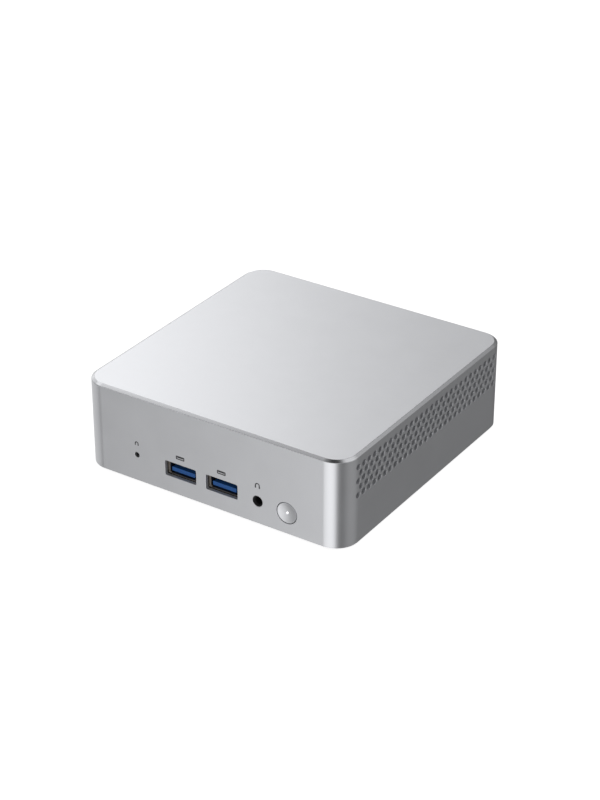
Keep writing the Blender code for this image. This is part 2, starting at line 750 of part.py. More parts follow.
def rear_ports():
    """Each back connector's name, with its middle across and up the panel, and its size."""
    data_top = DATA_CENTRE_Z + DATA_SHELL[1] / 2
    ports = (
        ("dc_jack", POWER_INLET, UNDER_BOARD),
        ("oval_port", OVAL_SHELL, UNDER_BOARD),
        ("video_port", VIDEO_SHELL, UNDER_BOARD),
        ("lan_jack", NETWORK_CAN, UNDER_BOARD),
        ("rear_port_right", DATA_SHELL, data_top),
        ("rear_port_left", DATA_SHELL, data_top),
    )
    spare = REAR_PORT_SPAN - sum(size[0] for _, size, _ in ports)
    edge = REAR_PORT_SPAN / 2
    placed = {}
    for name, size, top in ports:
        placed[name] = ((edge - size[0] / 2, top - size[1] / 2), size)
        edge -= size[0] + spare / (len(ports) - 1)
    return placed


def make_rear_panel(ports):
    """The black plate in the back of the case, with a window for each connector."""
    plate = bmesh.new()
    across = (-PANEL_OPENING_X + GAP, PANEL_OPENING_X - GAP)
    up = (PANEL_OPENING_Z[0] + GAP, PANEL_OPENING_Z[1] - GAP)
    add_box(plate, across, (INSIDE - PANEL_DEPTH, HALF - PANEL_RECESS), up, PANEL_CORNER, "y")
    panel = add_piece("rear_io_panel", plate, (0, INSIDE, DATA_CENTRE_Z), "black_plastic")
    flange = bmesh.new()
    add_box(flange, (-FLANGE_X, FLANGE_X), (INSIDE - FLANGE_DEPTH, INSIDE - GAP), FLANGE_Z)
    combine(panel, "rear_panel_flange", flange, "UNION")
    windows = bmesh.new()
    through = (INSIDE - FLANGE_DEPTH - OVERCUT, HALF + OVERCUT)
    for (x, z), (width, height) in ports.values():
        add_box(windows, about(x, width + 2 * GAP), through, about(z, height + 2 * GAP))
    combine(panel, "rear_panel_windows", windows, "DIFFERENCE")


def make_dc_jack(centre, size):
    """The power inlet: a block with a round socket and a centre pin."""
    body = bmesh.new()
    add_port_box(body, centre, size, (0, POWER_INLET_DEPTH), REAR_PORT_FACE, 1, POWER_INLET_CORNER)
    jack = add_piece("dc_jack", body, (centre[0], REAR_PORT_FACE, centre[1]), "black_plastic")
    bore = bmesh.new()
    bore_span = port_span(REAR_PORT_FACE, 1, (-OVERCUT, POWER_BORE_DEPTH))
    add_rod(bore, POWER_BORE_RADIUS, centre, bore_span, "y")
    combine(jack, "dc_jack_bore", bore, "DIFFERENCE")
    pin = bmesh.new()
    add_rod(pin, POWER_PIN_RADIUS, centre, port_span(REAR_PORT_FACE, 1, POWER_PIN_DEPTHS), "y", 12)
    combine(jack, "dc_jack_pin", pin, "UNION")


def make_oval_port(centre, size):
    """A small reversible port: an oval steel shell round a thin tongue."""
    tube = bmesh.new()
    add_port_box(tube, centre, size, (0, OVAL_SHELL_DEPTH), REAR_PORT_FACE, 1, OVAL_ROUND * size[1], 4)
    shell = add_piece("oval_port_shell", tube, (centre[0], REAR_PORT_FACE, centre[1]), "plated_steel")
    bore = bmesh.new()
    inner = (size[0] - 2 * OVAL_WALL, size[1] - 2 * OVAL_WALL)
    through = (-OVERCUT, OVAL_SHELL_DEPTH + OVERCUT)
    add_port_box(bore, centre, inner, through, REAR_PORT_FACE, 1, OVAL_ROUND * inner[1], 4)
    combine(shell, "oval_bore", bore, "DIFFERENCE")
    block = (OVAL_BLOCK, OVAL_BLOCK_DEPTHS)
    blade = (OVAL_BLADE, OVAL_BLADE_DEPTHS)
    add_insert("oval_port_tongue", centre, block, blade, 0.0, REAR_PORT_FACE, 1, "black_plastic")


def add_cut_box(bm, centre, size, depths, cut):
    """A box with its two lower long edges cut off, as on a video port."""
    add_port_box(bm, centre, size, depths, REAR_PORT_FACE, 1)
    lower = []
    for edge in bm.edges:
        run = edge.verts[0].co - edge.verts[1].co
        middle = (edge.verts[0].co + edge.verts[1].co) / 2
        if abs(run.normalized().y) > 0.99 and middle.z < centre[1] * MM:
            lower.append(edge)
    bmesh.ops.bevel(bm, geom=lower, offset=cut * MM, segments=1, profile=0.5, affect="EDGES")


def make_video_port(centre, size):
    """A video port: a steel shell with cut lower corners round a flat tongue."""
    tube = bmesh.new()
    add_cut_box(tube, centre, size, (0, VIDEO_SHELL_DEPTH), VIDEO_CUT)
    shell = add_piece("video_port_shell", tube, (centre[0], REAR_PORT_FACE, centre[1]), "plated_steel")
    bore = bmesh.new()
    inner = (size[0] - 2 * VIDEO_WALL, size[1] - 2 * VIDEO_WALL)
    add_cut_box(bore, centre, inner, (-OVERCUT, VIDEO_SHELL_DEPTH + OVERCUT), VIDEO_BORE_CUT)
    combine(shell, "video_bore", bore, "DIFFERENCE")
    raised = (centre[0], centre[1] + VIDEO_BLADE_RISE)
    block = (VIDEO_BLOCK, VIDEO_BLOCK_DEPTHS)
    blade = (VIDEO_BLADE, VIDEO_BLADE_DEPTHS)
    add_insert("video_port_tongue", raised, block, blade, 0.0, REAR_PORT_FACE, 1, "black_plastic")


def make_lan_jack(centre, size):
    """The network jack: a steel box with a plug opening and the notch for the plug's latch."""
    x, z = centre
    body = bmesh.new()
    add_port_box(body, centre, size, (0, NETWORK_CAN_DEPTH), REAR_PORT_FACE, 1)
    jack = add_piece("lan_jack", body, (x, REAR_PORT_FACE, z), "plated_steel")
    mouth = bmesh.new()
    mouth_depths = (-OVERCUT, NETWORK_MOUTH_DEPTH)
    add_port_box(mouth, (x, z + NETWORK_MOUTH_RISE), NETWORK_MOUTH, mouth_depths, REAR_PORT_FACE, 1)
    combine(jack, "lan_mouth", mouth, "DIFFERENCE")
    notch = bmesh.new()
    notch_depths = (-OVERCUT, NETWORK_NOTCH_DEPTH)
    add_port_box(notch, (x, z - NETWORK_NOTCH_DROP), NETWORK_NOTCH, notch_depths, REAR_PORT_FACE, 1)
    combine(jack, "lan_latch_notch", notch, "DIFFERENCE")


def make_mainboard():
    """The circuit board, screwed up against the housing's posts, with the drive's standoff."""
    through = (BOARD_BOTTOM - OVERCUT, BOARD_TOP + OVERCUT)
    sheet = bmesh.new()
    board_x = (-BOARD_HALF_WIDTH, BOARD_HALF_WIDTH)
    add_box(sheet, board_x, BOARD_SPAN_Y, (BOARD_BOTTOM, BOARD_TOP), BOARD_CORNER)
    board = add_piece("mainboard", sheet, (0, 0, BOARD_BOTTOM), "green_board")
    drive_end = (DRIVE_AT[0] + DRIVE_SIZE[0], DRIVE_AT[1])
    standoff = bmesh.new()
    standoff_span = (CARD_Z + DRIVE_SIZE[2] + GAP, BOARD_BOTTOM + SINK)
    add_rod(standoff, STANDOFF_RADIUS, drive_end, standoff_span, "z", 16)
    combine(board, "drive_standoff", standoff, "UNION")
    holes = bmesh.new()
    for place in BOARD_POSTS:
        add_rod(holes, SCREW_HOLE_RADIUS, place, through, "z", 12)
    add_rod(holes, STANDOFF_BORE_RADIUS, drive_end, (CARD_Z, BOARD_TOP + OVERCUT), "z", 12)
    guide_room = about(BUTTON_AT[0], 2 * (GUIDE_RADIUS + BOARD_NOTCH_MARGIN))
    add_box(holes, guide_room, (BOARD_SPAN_Y[0] - OVERCUT, BOARD_NOTCH_BACK), through)
    combine(board, "board_holes", holes, "DIFFERENCE")


def make_cooler():
    """The processor, with its cold plate, heat pipe and fins above the board."""
    x, y = CHIP_AT
    chip_z = BOARD_TOP + GAP
    plate_z = chip_z + CHIP_SIZE[2] + GAP
    pipe_z = plate_z + COLD_PLATE_SIZE[2] + GAP + PIPE_RADIUS
    fins_y = (FAN_FRAME_Y[1] + GAP, FIN_STACK_BACK)
    run_y = sum(fins_y) / 2

    chip = bmesh.new()
    add_box(chip, about(x, CHIP_SIZE[0]), about(y, CHIP_SIZE[1]), (chip_z, chip_z + CHIP_SIZE[2]))
    add_piece("processor", chip, (x, y, chip_z), "bare_chip")
    plate = bmesh.new()
    plate_span = (plate_z, plate_z + COLD_PLATE_SIZE[2])
    across, along = about(x, COLD_PLATE_SIZE[0]), about(y, COLD_PLATE_SIZE[1])
    add_box(plate, across, along, plate_span, COLD_PLATE_CORNER)
    add_piece("cold_plate", plate, (x, y, plate_z), "copper")

    path = [(x, y - PIPE_START, pipe_z)]
    for step in range(PIPE_BEND_STEPS + 1):
        angle = math.pi - math.pi / 2 * step / PIPE_BEND_STEPS
        bend_x = x + PIPE_BEND * (1 + math.cos(angle))
        bend_y = run_y + PIPE_BEND * (math.sin(angle) - 1)
        path.append((bend_x, bend_y, pipe_z))
    path.append((FAN_FRAME_X[1] - PIPE_END_INSET, run_y, pipe_z))
    add_tube("heat_pipe", path, PIPE_RADIUS, 3, "copper")

    stack = bmesh.new()
    stack_span = (pipe_z + PIPE_RADIUS + GAP, FAN_FRAME_Z[1])
    add_box(stack, FAN_FRAME_X, fins_y, stack_span)
    fins = add_piece("fin_stack", stack, (FAN_AT[0], run_y, stack_span[0]), "silver_aluminium")
    slots = bmesh.new()
    slots_y = (fins_y[0] - OVERCUT, fins_y[1] + OVERCUT)
    slots_z = (stack_span[0] + FIN_THICKNESS, stack_span[1] - FIN_THICKNESS)
    pitch = (FAN_FRAME_X[1] - FAN_FRAME_X[0] - FIN_THICKNESS) / FINS
    for slot in range(FINS):
        start = FAN_FRAME_X[0] + FIN_THICKNESS + slot * pitch
        add_box(slots, (start, start + pitch - FIN_THICKNESS), slots_y, slots_z)
    combine(fins, "fin_slots", slots, "DIFFERENCE")


def make_fan_frame():
    """The blower's frame, open towards the fins, and the inlet plate under it."""
    x, y = FAN_AT
    opened = (FAN_FRAME_Z[0] - OVERCUT, FAN_ROOF)
    block = bmesh.new()
    add_box(block, FAN_FRAME_X, FAN_FRAME_Y, FAN_FRAME_Z, FAN_FRAME_CORNER)
    frame = add_piece("fan_frame", block, (x, y, FAN_FRAME_Z[0]), "black_plastic")
    chamber = bmesh.new()
    add_rod(chamber, FAN_CHAMBER_RADIUS, FAN_AT, opened, "z", 32)
    combine(frame, "fan_chamber", chamber, "DIFFERENCE")
    duct = bmesh.new()
    duct_x = (FAN_FRAME_X[0] + FAN_DUCT_WALL, FAN_FRAME_X[1] - FAN_DUCT_WALL)
    add_box(duct, duct_x, (y, FAN_FRAME_Y[1] + OVERCUT), opened)
    combine(frame, "fan_duct", duct, "DIFFERENCE")

    top = FAN_FRAME_Z[0] - GAP
    bottom = top - FAN_INLET_PLATE
    sheet = bmesh.new()
    add_box(sheet, FAN_FRAME_X, FAN_FRAME_Y, (bottom, top), FAN_FRAME_CORNER)
    plate = add_piece("fan_inlet_plate", sheet, (x, y, top), "black_plastic")
    inlet = bmesh.new()
    add_rod(inlet, FAN_INLET_RADIUS, FAN_AT, (bottom - OVERCUT, top + OVERCUT))
    combine(plate, "fan_inlet", inlet, "DIFFERENCE")


def make_fan_rotor():
    """The blower's wheel, and the bearing and coils that its hub turns round."""
    x, y = FAN_AT
    low, high = ROTOR_SPAN
    height = high - low
    profile = (
        (0, height - SHAFT_DROP),
        (SHAFT_RADIUS, height - SHAFT_DROP),
        (SHAFT_RADIUS, HUB_FLOOR),
        (HUB_BORE_RADIUS, HUB_FLOOR),
        (HUB_BORE_RADIUS, height),
        (HUB_RADIUS, height),
        (HUB_RADIUS, 0),
        (0, 0),
    )
    rotor = add_turned("fan_rotor", profile, (x, y, low), "black_plastic")
    blades = bmesh.new()
    lean = Matrix.Translation(metres((BLADE_ROOT, 0, 0))) @ Matrix.Rotation(BLADE_LEAN, 4, "Z")
    for blade in range(BLADES):
        made = len(blades.verts)
        add_box(blades, (0, ROTOR_RADIUS - BLADE_ROOT), about(0, BLADE_THICKNESS), BLADE_SPAN)
        turn = Matrix.Rotation(2 * math.pi * blade / BLADES, 4, "Z")
        place = Matrix.Translation(metres((x, y, 0))) @ turn @ lean
        bmesh.ops.transform(blades, matrix=place, verts=blades.verts[made:])
    combine(rotor, "rotor_blades", blades, "UNION")

    for name, (inner, outer), bottom, finish in (
        ("fan_bearing", BEARING_RADII, BEARING_BOTTOM, "brass"),
        ("fan_coils", COIL_RADII, COIL_BOTTOM, "copper"),
    ):
        ring = bmesh.new()
        add_rod(ring, outer, FAN_AT, (bottom, FAN_ROOF - GAP), "z", 16)
        sleeve = add_piece(name, ring, (x, y, bottom), finish)
        bore = bmesh.new()
        add_rod(bore, inner, FAN_AT, (bottom - OVERCUT, FAN_ROOF + OVERCUT), "z", 16)
        combine(sleeve, name + "_bore", bore, "DIFFERENCE")


def make_memory():
    """The memory module in its socket, held by a spring latch at each end."""
    x, edge = MEMORY_AT
    width, depth, thick = MEMORY_SIZE
    body = bmesh.new()
    socket_y = (edge - MEMORY_SOCKET_BACK, edge + MEMORY_SOCKET_REACH)
    add_box(body, about(x, width + 2 * LATCH_REACH[1]), socket_y, (MEMORY_SOCKET_BOTTOM, UNDER_BOARD))
    socket = add_piece("memory_socket", body, (x, edge, MEMORY_Z), "black_plastic")
    slot = bmesh.new()
    slot_y = (edge - GAP, edge + MEMORY_SOCKET_REACH + OVERCUT)
    add_box(slot, about(x, width + 2 * GAP), slot_y, (MEMORY_Z - GAP, MEMORY_Z + thick + GAP))
    combine(socket, "memory_slot", slot, "DIFFERENCE")

    sheet = bmesh.new()
    add_box(sheet, about(x, width), (edge, edge + depth), (MEMORY_Z, MEMORY_Z + thick))
    module = add_piece("memory_module", sheet, (x, edge, MEMORY_Z), "green_board")
    chips = bmesh.new()
    chip_y = about(edge + depth / 2 + MEMORY_CHIP_SHIFT, MEMORY_CHIP[1])
    for chip in range(MEMORY_CHIPS):
        chip_x = about(x + (chip - (MEMORY_CHIPS - 1) / 2) * MEMORY_CHIP_PITCH, MEMORY_CHIP[0])
        add_box(chips, chip_x, chip_y, (MEMORY_Z - MEMORY_CHIP[2], MEMORY_Z + CHIP_SINK))
    combine(module, "memory_chips", chips, "UNION")

    root_y = socket_y[1] + GAP
    for name, side in (("memory_latch_left", -1), ("memory_latch_right", 1)):
        inner, outer = (x + side * (width / 2 + reach) for reach in LATCH_REACH)
        arm = bmesh.new()
        add_box(arm, (inner, outer), (root_y, root_y + LATCH_LENGTH), LATCH_Z)
        latch = add_piece(name, arm, ((inner + outer) / 2, root_y, MEMORY_Z), "plated_steel")
        hook = bmesh.new()
        hook_x = (inner - side * HOOK_REACH, inner + side * HOOK_SINK)
        hook_y = (root_y + HOOK_SPAN[0], root_y + HOOK_SPAN[1])
        add_box(hook, hook_x, hook_y, (HOOK_BOTTOM, MEMORY_Z - GAP))
        combine(latch, name + "_hook", hook, "UNION")


def make_drive():
    """The solid-state drive: a long card in an edge socket, with one screw at its far end."""
    edge, y = DRIVE_AT
    length, width, thick = DRIVE_SIZE
    end = edge + length
    body = bmesh.new()
    socket_x = (edge - SOCKET_BACK, edge + SOCKET_REACH)
    add_box(body, socket_x, about(y, width + 2 * SOCKET_MARGIN), (SOCKET_BOTTOM, UNDER_BOARD))
    socket = add_piece("ssd_socket", body, (edge, y, CARD_Z), "black_plastic")
    slot = bmesh.new()
    slot_x = (edge - GAP, edge + SOCKET_REACH + OVERCUT)
    add_box(slot, slot_x, about(y, width + 2 * GAP), (CARD_Z - GAP, CARD_Z + thick + GAP))
    combine(socket, "ssd_slot", slot, "DIFFERENCE")

    sheet = bmesh.new()
    add_box(sheet, (edge, end), about(y, width), (CARD_Z, CARD_Z + thick))
    module = add_piece("ssd_module", sheet, (edge, y, CARD_Z), "black_board")
    chips = bmesh.new()
    for start, size in DRIVE_CHIPS:
        chip_x = (edge + start, edge + start + size)
        add_box(chips, chip_x, about(y, DRIVE_CHIP_WIDTH), (CARD_Z - DRIVE_CHIP_HEIGHT, CARD_Z + CHIP_SINK))
    combine(module, "ssd_chips", chips, "UNION")
    notch = bmesh.new()
    add_rod(notch, DRIVE_NOTCH_RADIUS, (end, y), (CARD_Z - OVERCUT, CARD_Z + thick + OVERCUT), "z", 16)
    combine(module, "ssd_notch", notch, "DIFFERENCE")
    add_screw("ssd_screw", (end, y), DRIVE_SCREW, CARD_Z - GAP - DRIVE_SCREW[2], DRIVE_SCREW_TOP)


def make_wireless():
    """The radio card in its socket, under a steel shield."""
    x, edge = WIRELESS_AT
    width, depth, thick = WIRELESS_SIZE
    body = bmesh.new()
    socket_y = (edge - SOCKET_BACK, edge + SOCKET_REACH)
    add_box(body, about(x, width + 2 * SOCKET_MARGIN), socket_y, (SOCKET_BOTTOM, UNDER_BOARD))
    socket = add_piece("wireless_socket", body, (x, edge, CARD_Z), "black_plastic")
    slot = bmesh.new()
    slot_y = (edge - GAP, edge + SOCKET_REACH + OVERCUT)
    add_box(slot, about(x, width + 2 * GAP), slot_y, (CARD_Z - GAP, CARD_Z + thick + GAP))
    combine(socket, "wireless_slot", slot, "DIFFERENCE")

    sheet = bmesh.new()
    add_box(sheet, about(x, width), (edge, edge + depth), (CARD_Z, CARD_Z + thick))
    card = add_piece("wireless_card", sheet, (x, edge, CARD_Z), "black_board")
    shield = bmesh.new()
    shield_y = (edge + SHIELD_SPAN[0], edge + SHIELD_SPAN[1])
    add_box(shield, about(x, SHIELD_WIDTH), shield_y, (CARD_Z - SHIELD_HEIGHT, CARD_Z + CHIP_SINK))
    combine(card, "wireless_shield", shield, "UNION")


def make_antennas():
    """Two flat antennas on the bottom cover, each with a lead from the radio card."""
    bottom = COVER_TOP + GAP
    top = bottom + ANTENNA_SIZE[2]
    for name, x in (("antenna_left", -ANTENNA_X), ("antenna_right", ANTENNA_X)):
        strip = bmesh.new()
        add_box(strip, about(x, ANTENNA_SIZE[0]), about(0, ANTENNA_SIZE[1]), (bottom, top))
        add_piece(name, strip, (x, 0, bottom), "copper")

    left = WIRELESS_AT[0] - PLUG_SPACING / 2
    right = WIRELESS_AT[0] + PLUG_SPACING / 2
    plug_y = WIRELESS_AT[1] + WIRELESS_SIZE[1] - PLUG_INSET
    plug_z = CARD_Z - PLUG_DROP
    end_z = top + GAP
    left_route = (
        (left, plug_y, plug_z),
        (left - 0.5, plug_y + 1.5, plug_z - 2.0),
        (left - 3.0, plug_y + 5.0, plug_z - 4.0),
        (0.4 - ANTENNA_X, plug_y + 7.5, end_z + 1.6),
        (-ANTENNA_X, plug_y + 8.0, end_z),
    )
    right_route = (
        (right, plug_y, plug_z),
        (right + 0.5, plug_y + 1.5, plug_z - 1.6),
        (right + 7.5, plug_y + 8.5, plug_z - 4.0),
        (0.0, -3.5, 8.5),
        (28.0, -3.5, 8.0),
        (ANTENNA_X - 5.0, -2.0, end_z + 2.0),
        (ANTENNA_X - 0.6, 0.0, end_z + 1.2),
        (ANTENNA_X, 0.5, end_z),
    )
    add_tube("antenna_lead_left", smooth_path(left_route, LEAD_STEPS), LEAD_RADIUS, 1, "black_plastic")
    add_tube("antenna_lead_right", smooth_path(right_route, LEAD_STEPS), LEAD_RADIUS, 1, "black_plastic")


def make_coin_cell():
    """The clock's coin cell, stuck under the board."""
    profile = (
        (0, COIN_CELL_THICKNESS),
        (COIN_CELL_RADIUS - COIN_CELL_EDGE, COIN_CELL_THICKNESS),
        (COIN_CELL_RADIUS, COIN_CELL_THICKNESS - COIN_CELL_EDGE),
        (COIN_CELL_RADIUS, COIN_CELL_EDGE),
        (COIN_CELL_RADIUS - COIN_CELL_EDGE, 0),
        (0, 0),
    )
    bottom = UNDER_BOARD - COIN_CELL_THICKNESS
    add_turned("coin_cell", profile, (*COIN_CELL_AT, bottom), "plated_steel", steps=20)


def smooth_shading():
    """A node group that shades round faces smooth and keeps a crease where faces meet at an angle."""
    group = bpy.data.node_groups.new("smooth_shading", "GeometryNodeTree")
    for direction in ("INPUT", "OUTPUT"):
        group.interface.new_socket("Geometry", in_out=direction, socket_type="NodeSocketGeometry")
    start = group.nodes.new("NodeGroupInput")
    angle = group.nodes.new("GeometryNodeInputMeshEdgeAngle")
    gentle = group.nodes.new("FunctionNodeCompare")
    gentle.operation = "LESS_THAN"
    gentle.inputs["B"].default_value = CREASE_ANGLE
    faces = group.nodes.new("GeometryNodeSetShadeSmooth")
    edges = group.nodes.new("GeometryNodeSetShadeSmooth")
    edges.domain = "EDGE"
    end = group.nodes.new("NodeGroupOutput")
    group.links.new(start.outputs[0], faces.inputs[0])
    group.links.new(faces.outputs[0], edges.inputs[0])
    group.links.new(angle.outputs["Unsigned Angle"], gentle.inputs["A"])
    group.links.new(gentle.outputs["Result"], edges.inputs["Shade Smooth"])
    group.links.new(edges.outputs[0], end.inputs[0])
    return group


clear_scene()
parts = new_collection("mini_pc")
cutters = new_collection("mini_pc_cutters")
case_frame = bpy.data.objects.new("mini_pc_frame", None)
parts.objects.link(case_frame)

make_housing()
make_bottom_cover()
make_feet()
make_screws()
for port_name, port_x in zip(("front_port_left", "front_port_right"), DATA_CENTRES_X):
    make_data_port(port_name, port_x, FRONT_PORT_FACE, -1, True)
make_audio_jack()
make_microphone()
make_power_button()
back_ports = rear_ports()
make_rear_panel(back_ports)
make_dc_jack(*back_ports["dc_jack"])
make_oval_port(*back_ports["oval_port"])
make_video_port(*back_ports["video_port"])
make_lan_jack(*back_ports["lan_jack"])
for port_name in ("rear_port_right", "rear_port_left"):
    (port_x, _), _ = back_ports[port_name]
    make_data_port(port_name, port_x, REAR_PORT_FACE, 1, False)
make_mainboard()
make_cooler()
make_fan_frame()
make_fan_rotor()
make_memory()
make_drive()
make_wireless()
make_antennas()
make_coin_cell()

shading = smooth_shading()
for piece in parts.objects:
    if piece.type == "MESH":
        piece.modifiers.new("smooth_shading", "NODES").node_group = shading
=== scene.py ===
"""The looks of a mini PC: a satin silver case with its ports, button, boards, cooler and bottom cover.

Sizes are in millimetres and are turned to metres as each shape is made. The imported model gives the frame:
+Z is up, the front panel faces -Y, and the origin is on the table under the middle of the case.
"""

import math

import bmesh
import bpy
from mathutils import Matrix, Vector


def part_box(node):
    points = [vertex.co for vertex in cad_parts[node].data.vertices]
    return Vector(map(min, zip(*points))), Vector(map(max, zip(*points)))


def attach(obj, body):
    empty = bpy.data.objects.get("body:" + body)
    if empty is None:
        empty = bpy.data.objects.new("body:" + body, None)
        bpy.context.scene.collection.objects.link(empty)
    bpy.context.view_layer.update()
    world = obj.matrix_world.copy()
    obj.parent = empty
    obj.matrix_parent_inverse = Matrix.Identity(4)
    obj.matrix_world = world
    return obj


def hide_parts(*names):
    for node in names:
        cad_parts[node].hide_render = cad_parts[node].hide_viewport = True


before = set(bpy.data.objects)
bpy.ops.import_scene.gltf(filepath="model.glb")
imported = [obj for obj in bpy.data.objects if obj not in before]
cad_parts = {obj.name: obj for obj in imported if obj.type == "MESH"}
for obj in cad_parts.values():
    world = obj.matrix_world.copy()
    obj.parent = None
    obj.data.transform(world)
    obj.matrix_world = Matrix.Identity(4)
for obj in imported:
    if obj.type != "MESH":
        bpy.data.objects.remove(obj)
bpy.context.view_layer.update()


# Top housing
# The cover is one deep box of aluminium, milled from a pressed blank: a top and four walls, open below.
# Its top edge is cut to a narrow bright facet, and the ports and vents are drilled and milled through
# the walls before the whole piece is blasted with fine beads and anodised in its own silver.
MM = 0.001


def span(node):
    """The low and the high corner of a CAD node's box, in millimetres."""
    return [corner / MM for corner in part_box(node)]


def middle(node):
    """The middle of a CAD node's box, in millimetres."""
    low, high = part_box(node)
    return (low + high) / 2 / MM


# The walls stand back from the solid's box by a little more than the print on them stands out.
PRINT_MARGIN = 0.015
CASE_LOW, CASE_HIGH = span("top_housing")
HALF = CASE_HIGH.x - PRINT_MARGIN
CASE_BOTTOM = CASE_LOW.z
CASE_TOP = CASE_HIGH.z
WALL = 1.7
INSIDE = HALF - WALL
CORNER_RADIUS = 10.0
CORNER_STEPS = 20
VENT_EDGE = 1.6
FACET_RUN = 1.4
FACET_DROP = 0.85
FACET_ROUNDING = 0.16
FACET_LEAN = (0.3, 0.97)
BORE_LEAN = 0.2
RIM_ROUNDING = 0.1

VENT_ROWS = 5
VENT_COLUMNS = 28
VENT_PITCH = 4.0
VENT_ROW_STEP = 3.18
VENT_FIRST_DROP = 5.2
VENT_DIAMETER = 2.8

FRONT_PORTS = ("front_port_left", "front_port_right")
DATA_WINDOW = (15.5, 6.85)
DATA_WINDOW_CORNER = 0.7
JACK_HOLE = 4.9
BUTTON_HOLE = 9.7
MICROPHONE_HOLE = 2.4
MICROPHONE_AT = 14.4

PANEL_HEIGHT = 10.8
PANEL_OPENING = (101.2, 13.2)
PANEL_OPENING_CORNER = 1.2
EXHAUST_SLOTS = 12
EXHAUST_PITCH = 4.3
EXHAUST_SLOT = (2.4, 8.6)
EXHAUST_MIDDLE = (16.0, 34.5)
LOCK_SLOT = (7.0, 3.0)
LOCK_SLOT_CORNER = 0.8
LOCK_SLOT_AT = (-44.0, 30.0)
# The share of a slot's width that rounds its ends, just short of a half so that no points meet.
ROUND_END = 0.499


def circle(diameter, steps=24):
    """Points round a circle about its middle."""
    turns = [2 * math.pi * step / steps for step in range(steps)]
    return [(diameter / 2 * math.cos(turn), diameter / 2 * math.sin(turn)) for turn in turns]


def rounded(size, radius, steps=5):
    """Points round a rectangle with rounded corners, about its middle."""
    points = []
    for quarter, (right, up) in enumerate(((1, 1), (-1, 1), (-1, -1), (1, -1))):
        for step in range(steps + 1):
            turn = math.pi / 2 * (quarter + step / steps)
            across = right * (size[0] / 2 - radius) + radius * math.cos(turn)
            along = up * (size[1] / 2 - radius) + radius * math.sin(turn)
            points.append((across, along))
    return points


def on_plane(points, place, at=(0, 0), height=0.0):
    """Where points of a plane are. They are in millimetres about a point of it, at a height above it."""
    return [place @ (Vector((at[0] + across, at[1] + along, height)) * MM) for across, along in points]


def add_rings(bm, rings):
    """Draws the first of a row of closed outlines, and extrudes it to each of the others in turn."""
    verts = [bm.verts.new(point) for point in rings[0]]
    loops = [[bm.edges.new((vert, verts[index - 1])) for index, vert in enumerate(verts)]]
    for ring in rings[1:]:
        made = bmesh.ops.extrude_edge_only(bm, edges=loops[-1])["geom"]
        fresh = {part for part in made if isinstance(part, bmesh.types.BMVert)}
        beside = [[edge.other_vert(vert) for edge in vert.link_edges] for vert in verts]
        verts = [fresh.intersection(others).pop() for others in beside]
        for vert, point in zip(verts, ring):
            vert.co = point
        edges = [part for part in made if isinstance(part, bmesh.types.BMEdge)]
        loops.append([edge for edge in edges if fresh.issuperset(edge.verts)])
    return loops


def add_sheet(bm, *loops):
    """Fills a flat outline, leaving the outlines inside it open."""
    edges = [edge for loop in loops for edge in loop]
    bmesh.ops.triangle_fill(bm, use_beauty=True, use_dissolve=False, edges=edges)


SLIGHT_BEND = 0.4
SQUARE_BEND = 1.2


def sharp_edges(bm, least=SQUARE_BEND):
    """The edges where two faces meet at more than an angle, in radians."""
    return [edge for edge in bm.edges if len(edge.link_faces) == 2 and edge.calc_face_angle() > least]


def round_edges(bm, edges, width, segments=2):
    """Breaks sharp edges with a small round."""
    bmesh.ops.bevel(
        bm,
        geom=edges,
        offset=width * MM,
        offset_type="OFFSET",
        segments=segments,
        profile=0.5,
        affect="EDGES",
        clamp_overlap=True,
        material=-1,
    )


WELD_GAP = 0.0005


def close_shape(bm):
    """Merges what meets, and turns every face outwards."""
    bmesh.ops.remove_doubles(bm, verts=bm.verts[:], dist=WELD_GAP * MM)
    bmesh.ops.recalc_face_normals(bm, faces=bm.faces[:])


def linear(code):
    """An sRGB hex colour as the linear values that a shader takes."""
    channels = [int(code[start:start + 2], 16) / 255 for start in (1, 3, 5)]
    return (*(c / 12.92 if c <= 0.04045 else ((c + 0.055) / 1.055) ** 2.4 for c in channels), 1.0)


def add_node(tree, kind, inputs, **options):
    """Adds a shader node. An input takes a value, or a socket to link to."""
    node = tree.nodes.new("ShaderNode" + kind)
    for name, value in options.items():
        setattr(node, name, value)
    for name, value in inputs.items():
        if isinstance(value, bpy.types.NodeSocket):
            tree.links.new(value, node.inputs[name])
        else:
            node.inputs[name].default_value = value
    return node


def blank_finish(name, **sockets):
    """A new finish with the shader's own values set, by name with _ for a space."""
    material = bpy.data.materials.new(name)
    material.use_nodes = True
    tree = material.node_tree
    shader = tree.nodes["Principled BSDF"]
    for socket, value in sockets.items():
        shader.inputs[socket.replace("_", " ")].default_value = value
    return material, tree, shader


def blend(tree, share, first, second):
    """A colour between two others."""
    return add_node(tree, "Mix", {0: share, 6: first, 7: second}, data_type="RGBA").outputs[2]


def emboss(tree, shader, height, relief):
    """Gives a finish a relief, in millimetres."""
    bump = add_node(tree, "Bump", {"Height": height, "Strength": 1.0, "Distance": relief * MM})
    tree.links.new(bump.outputs[0], shader.inputs["Normal"])


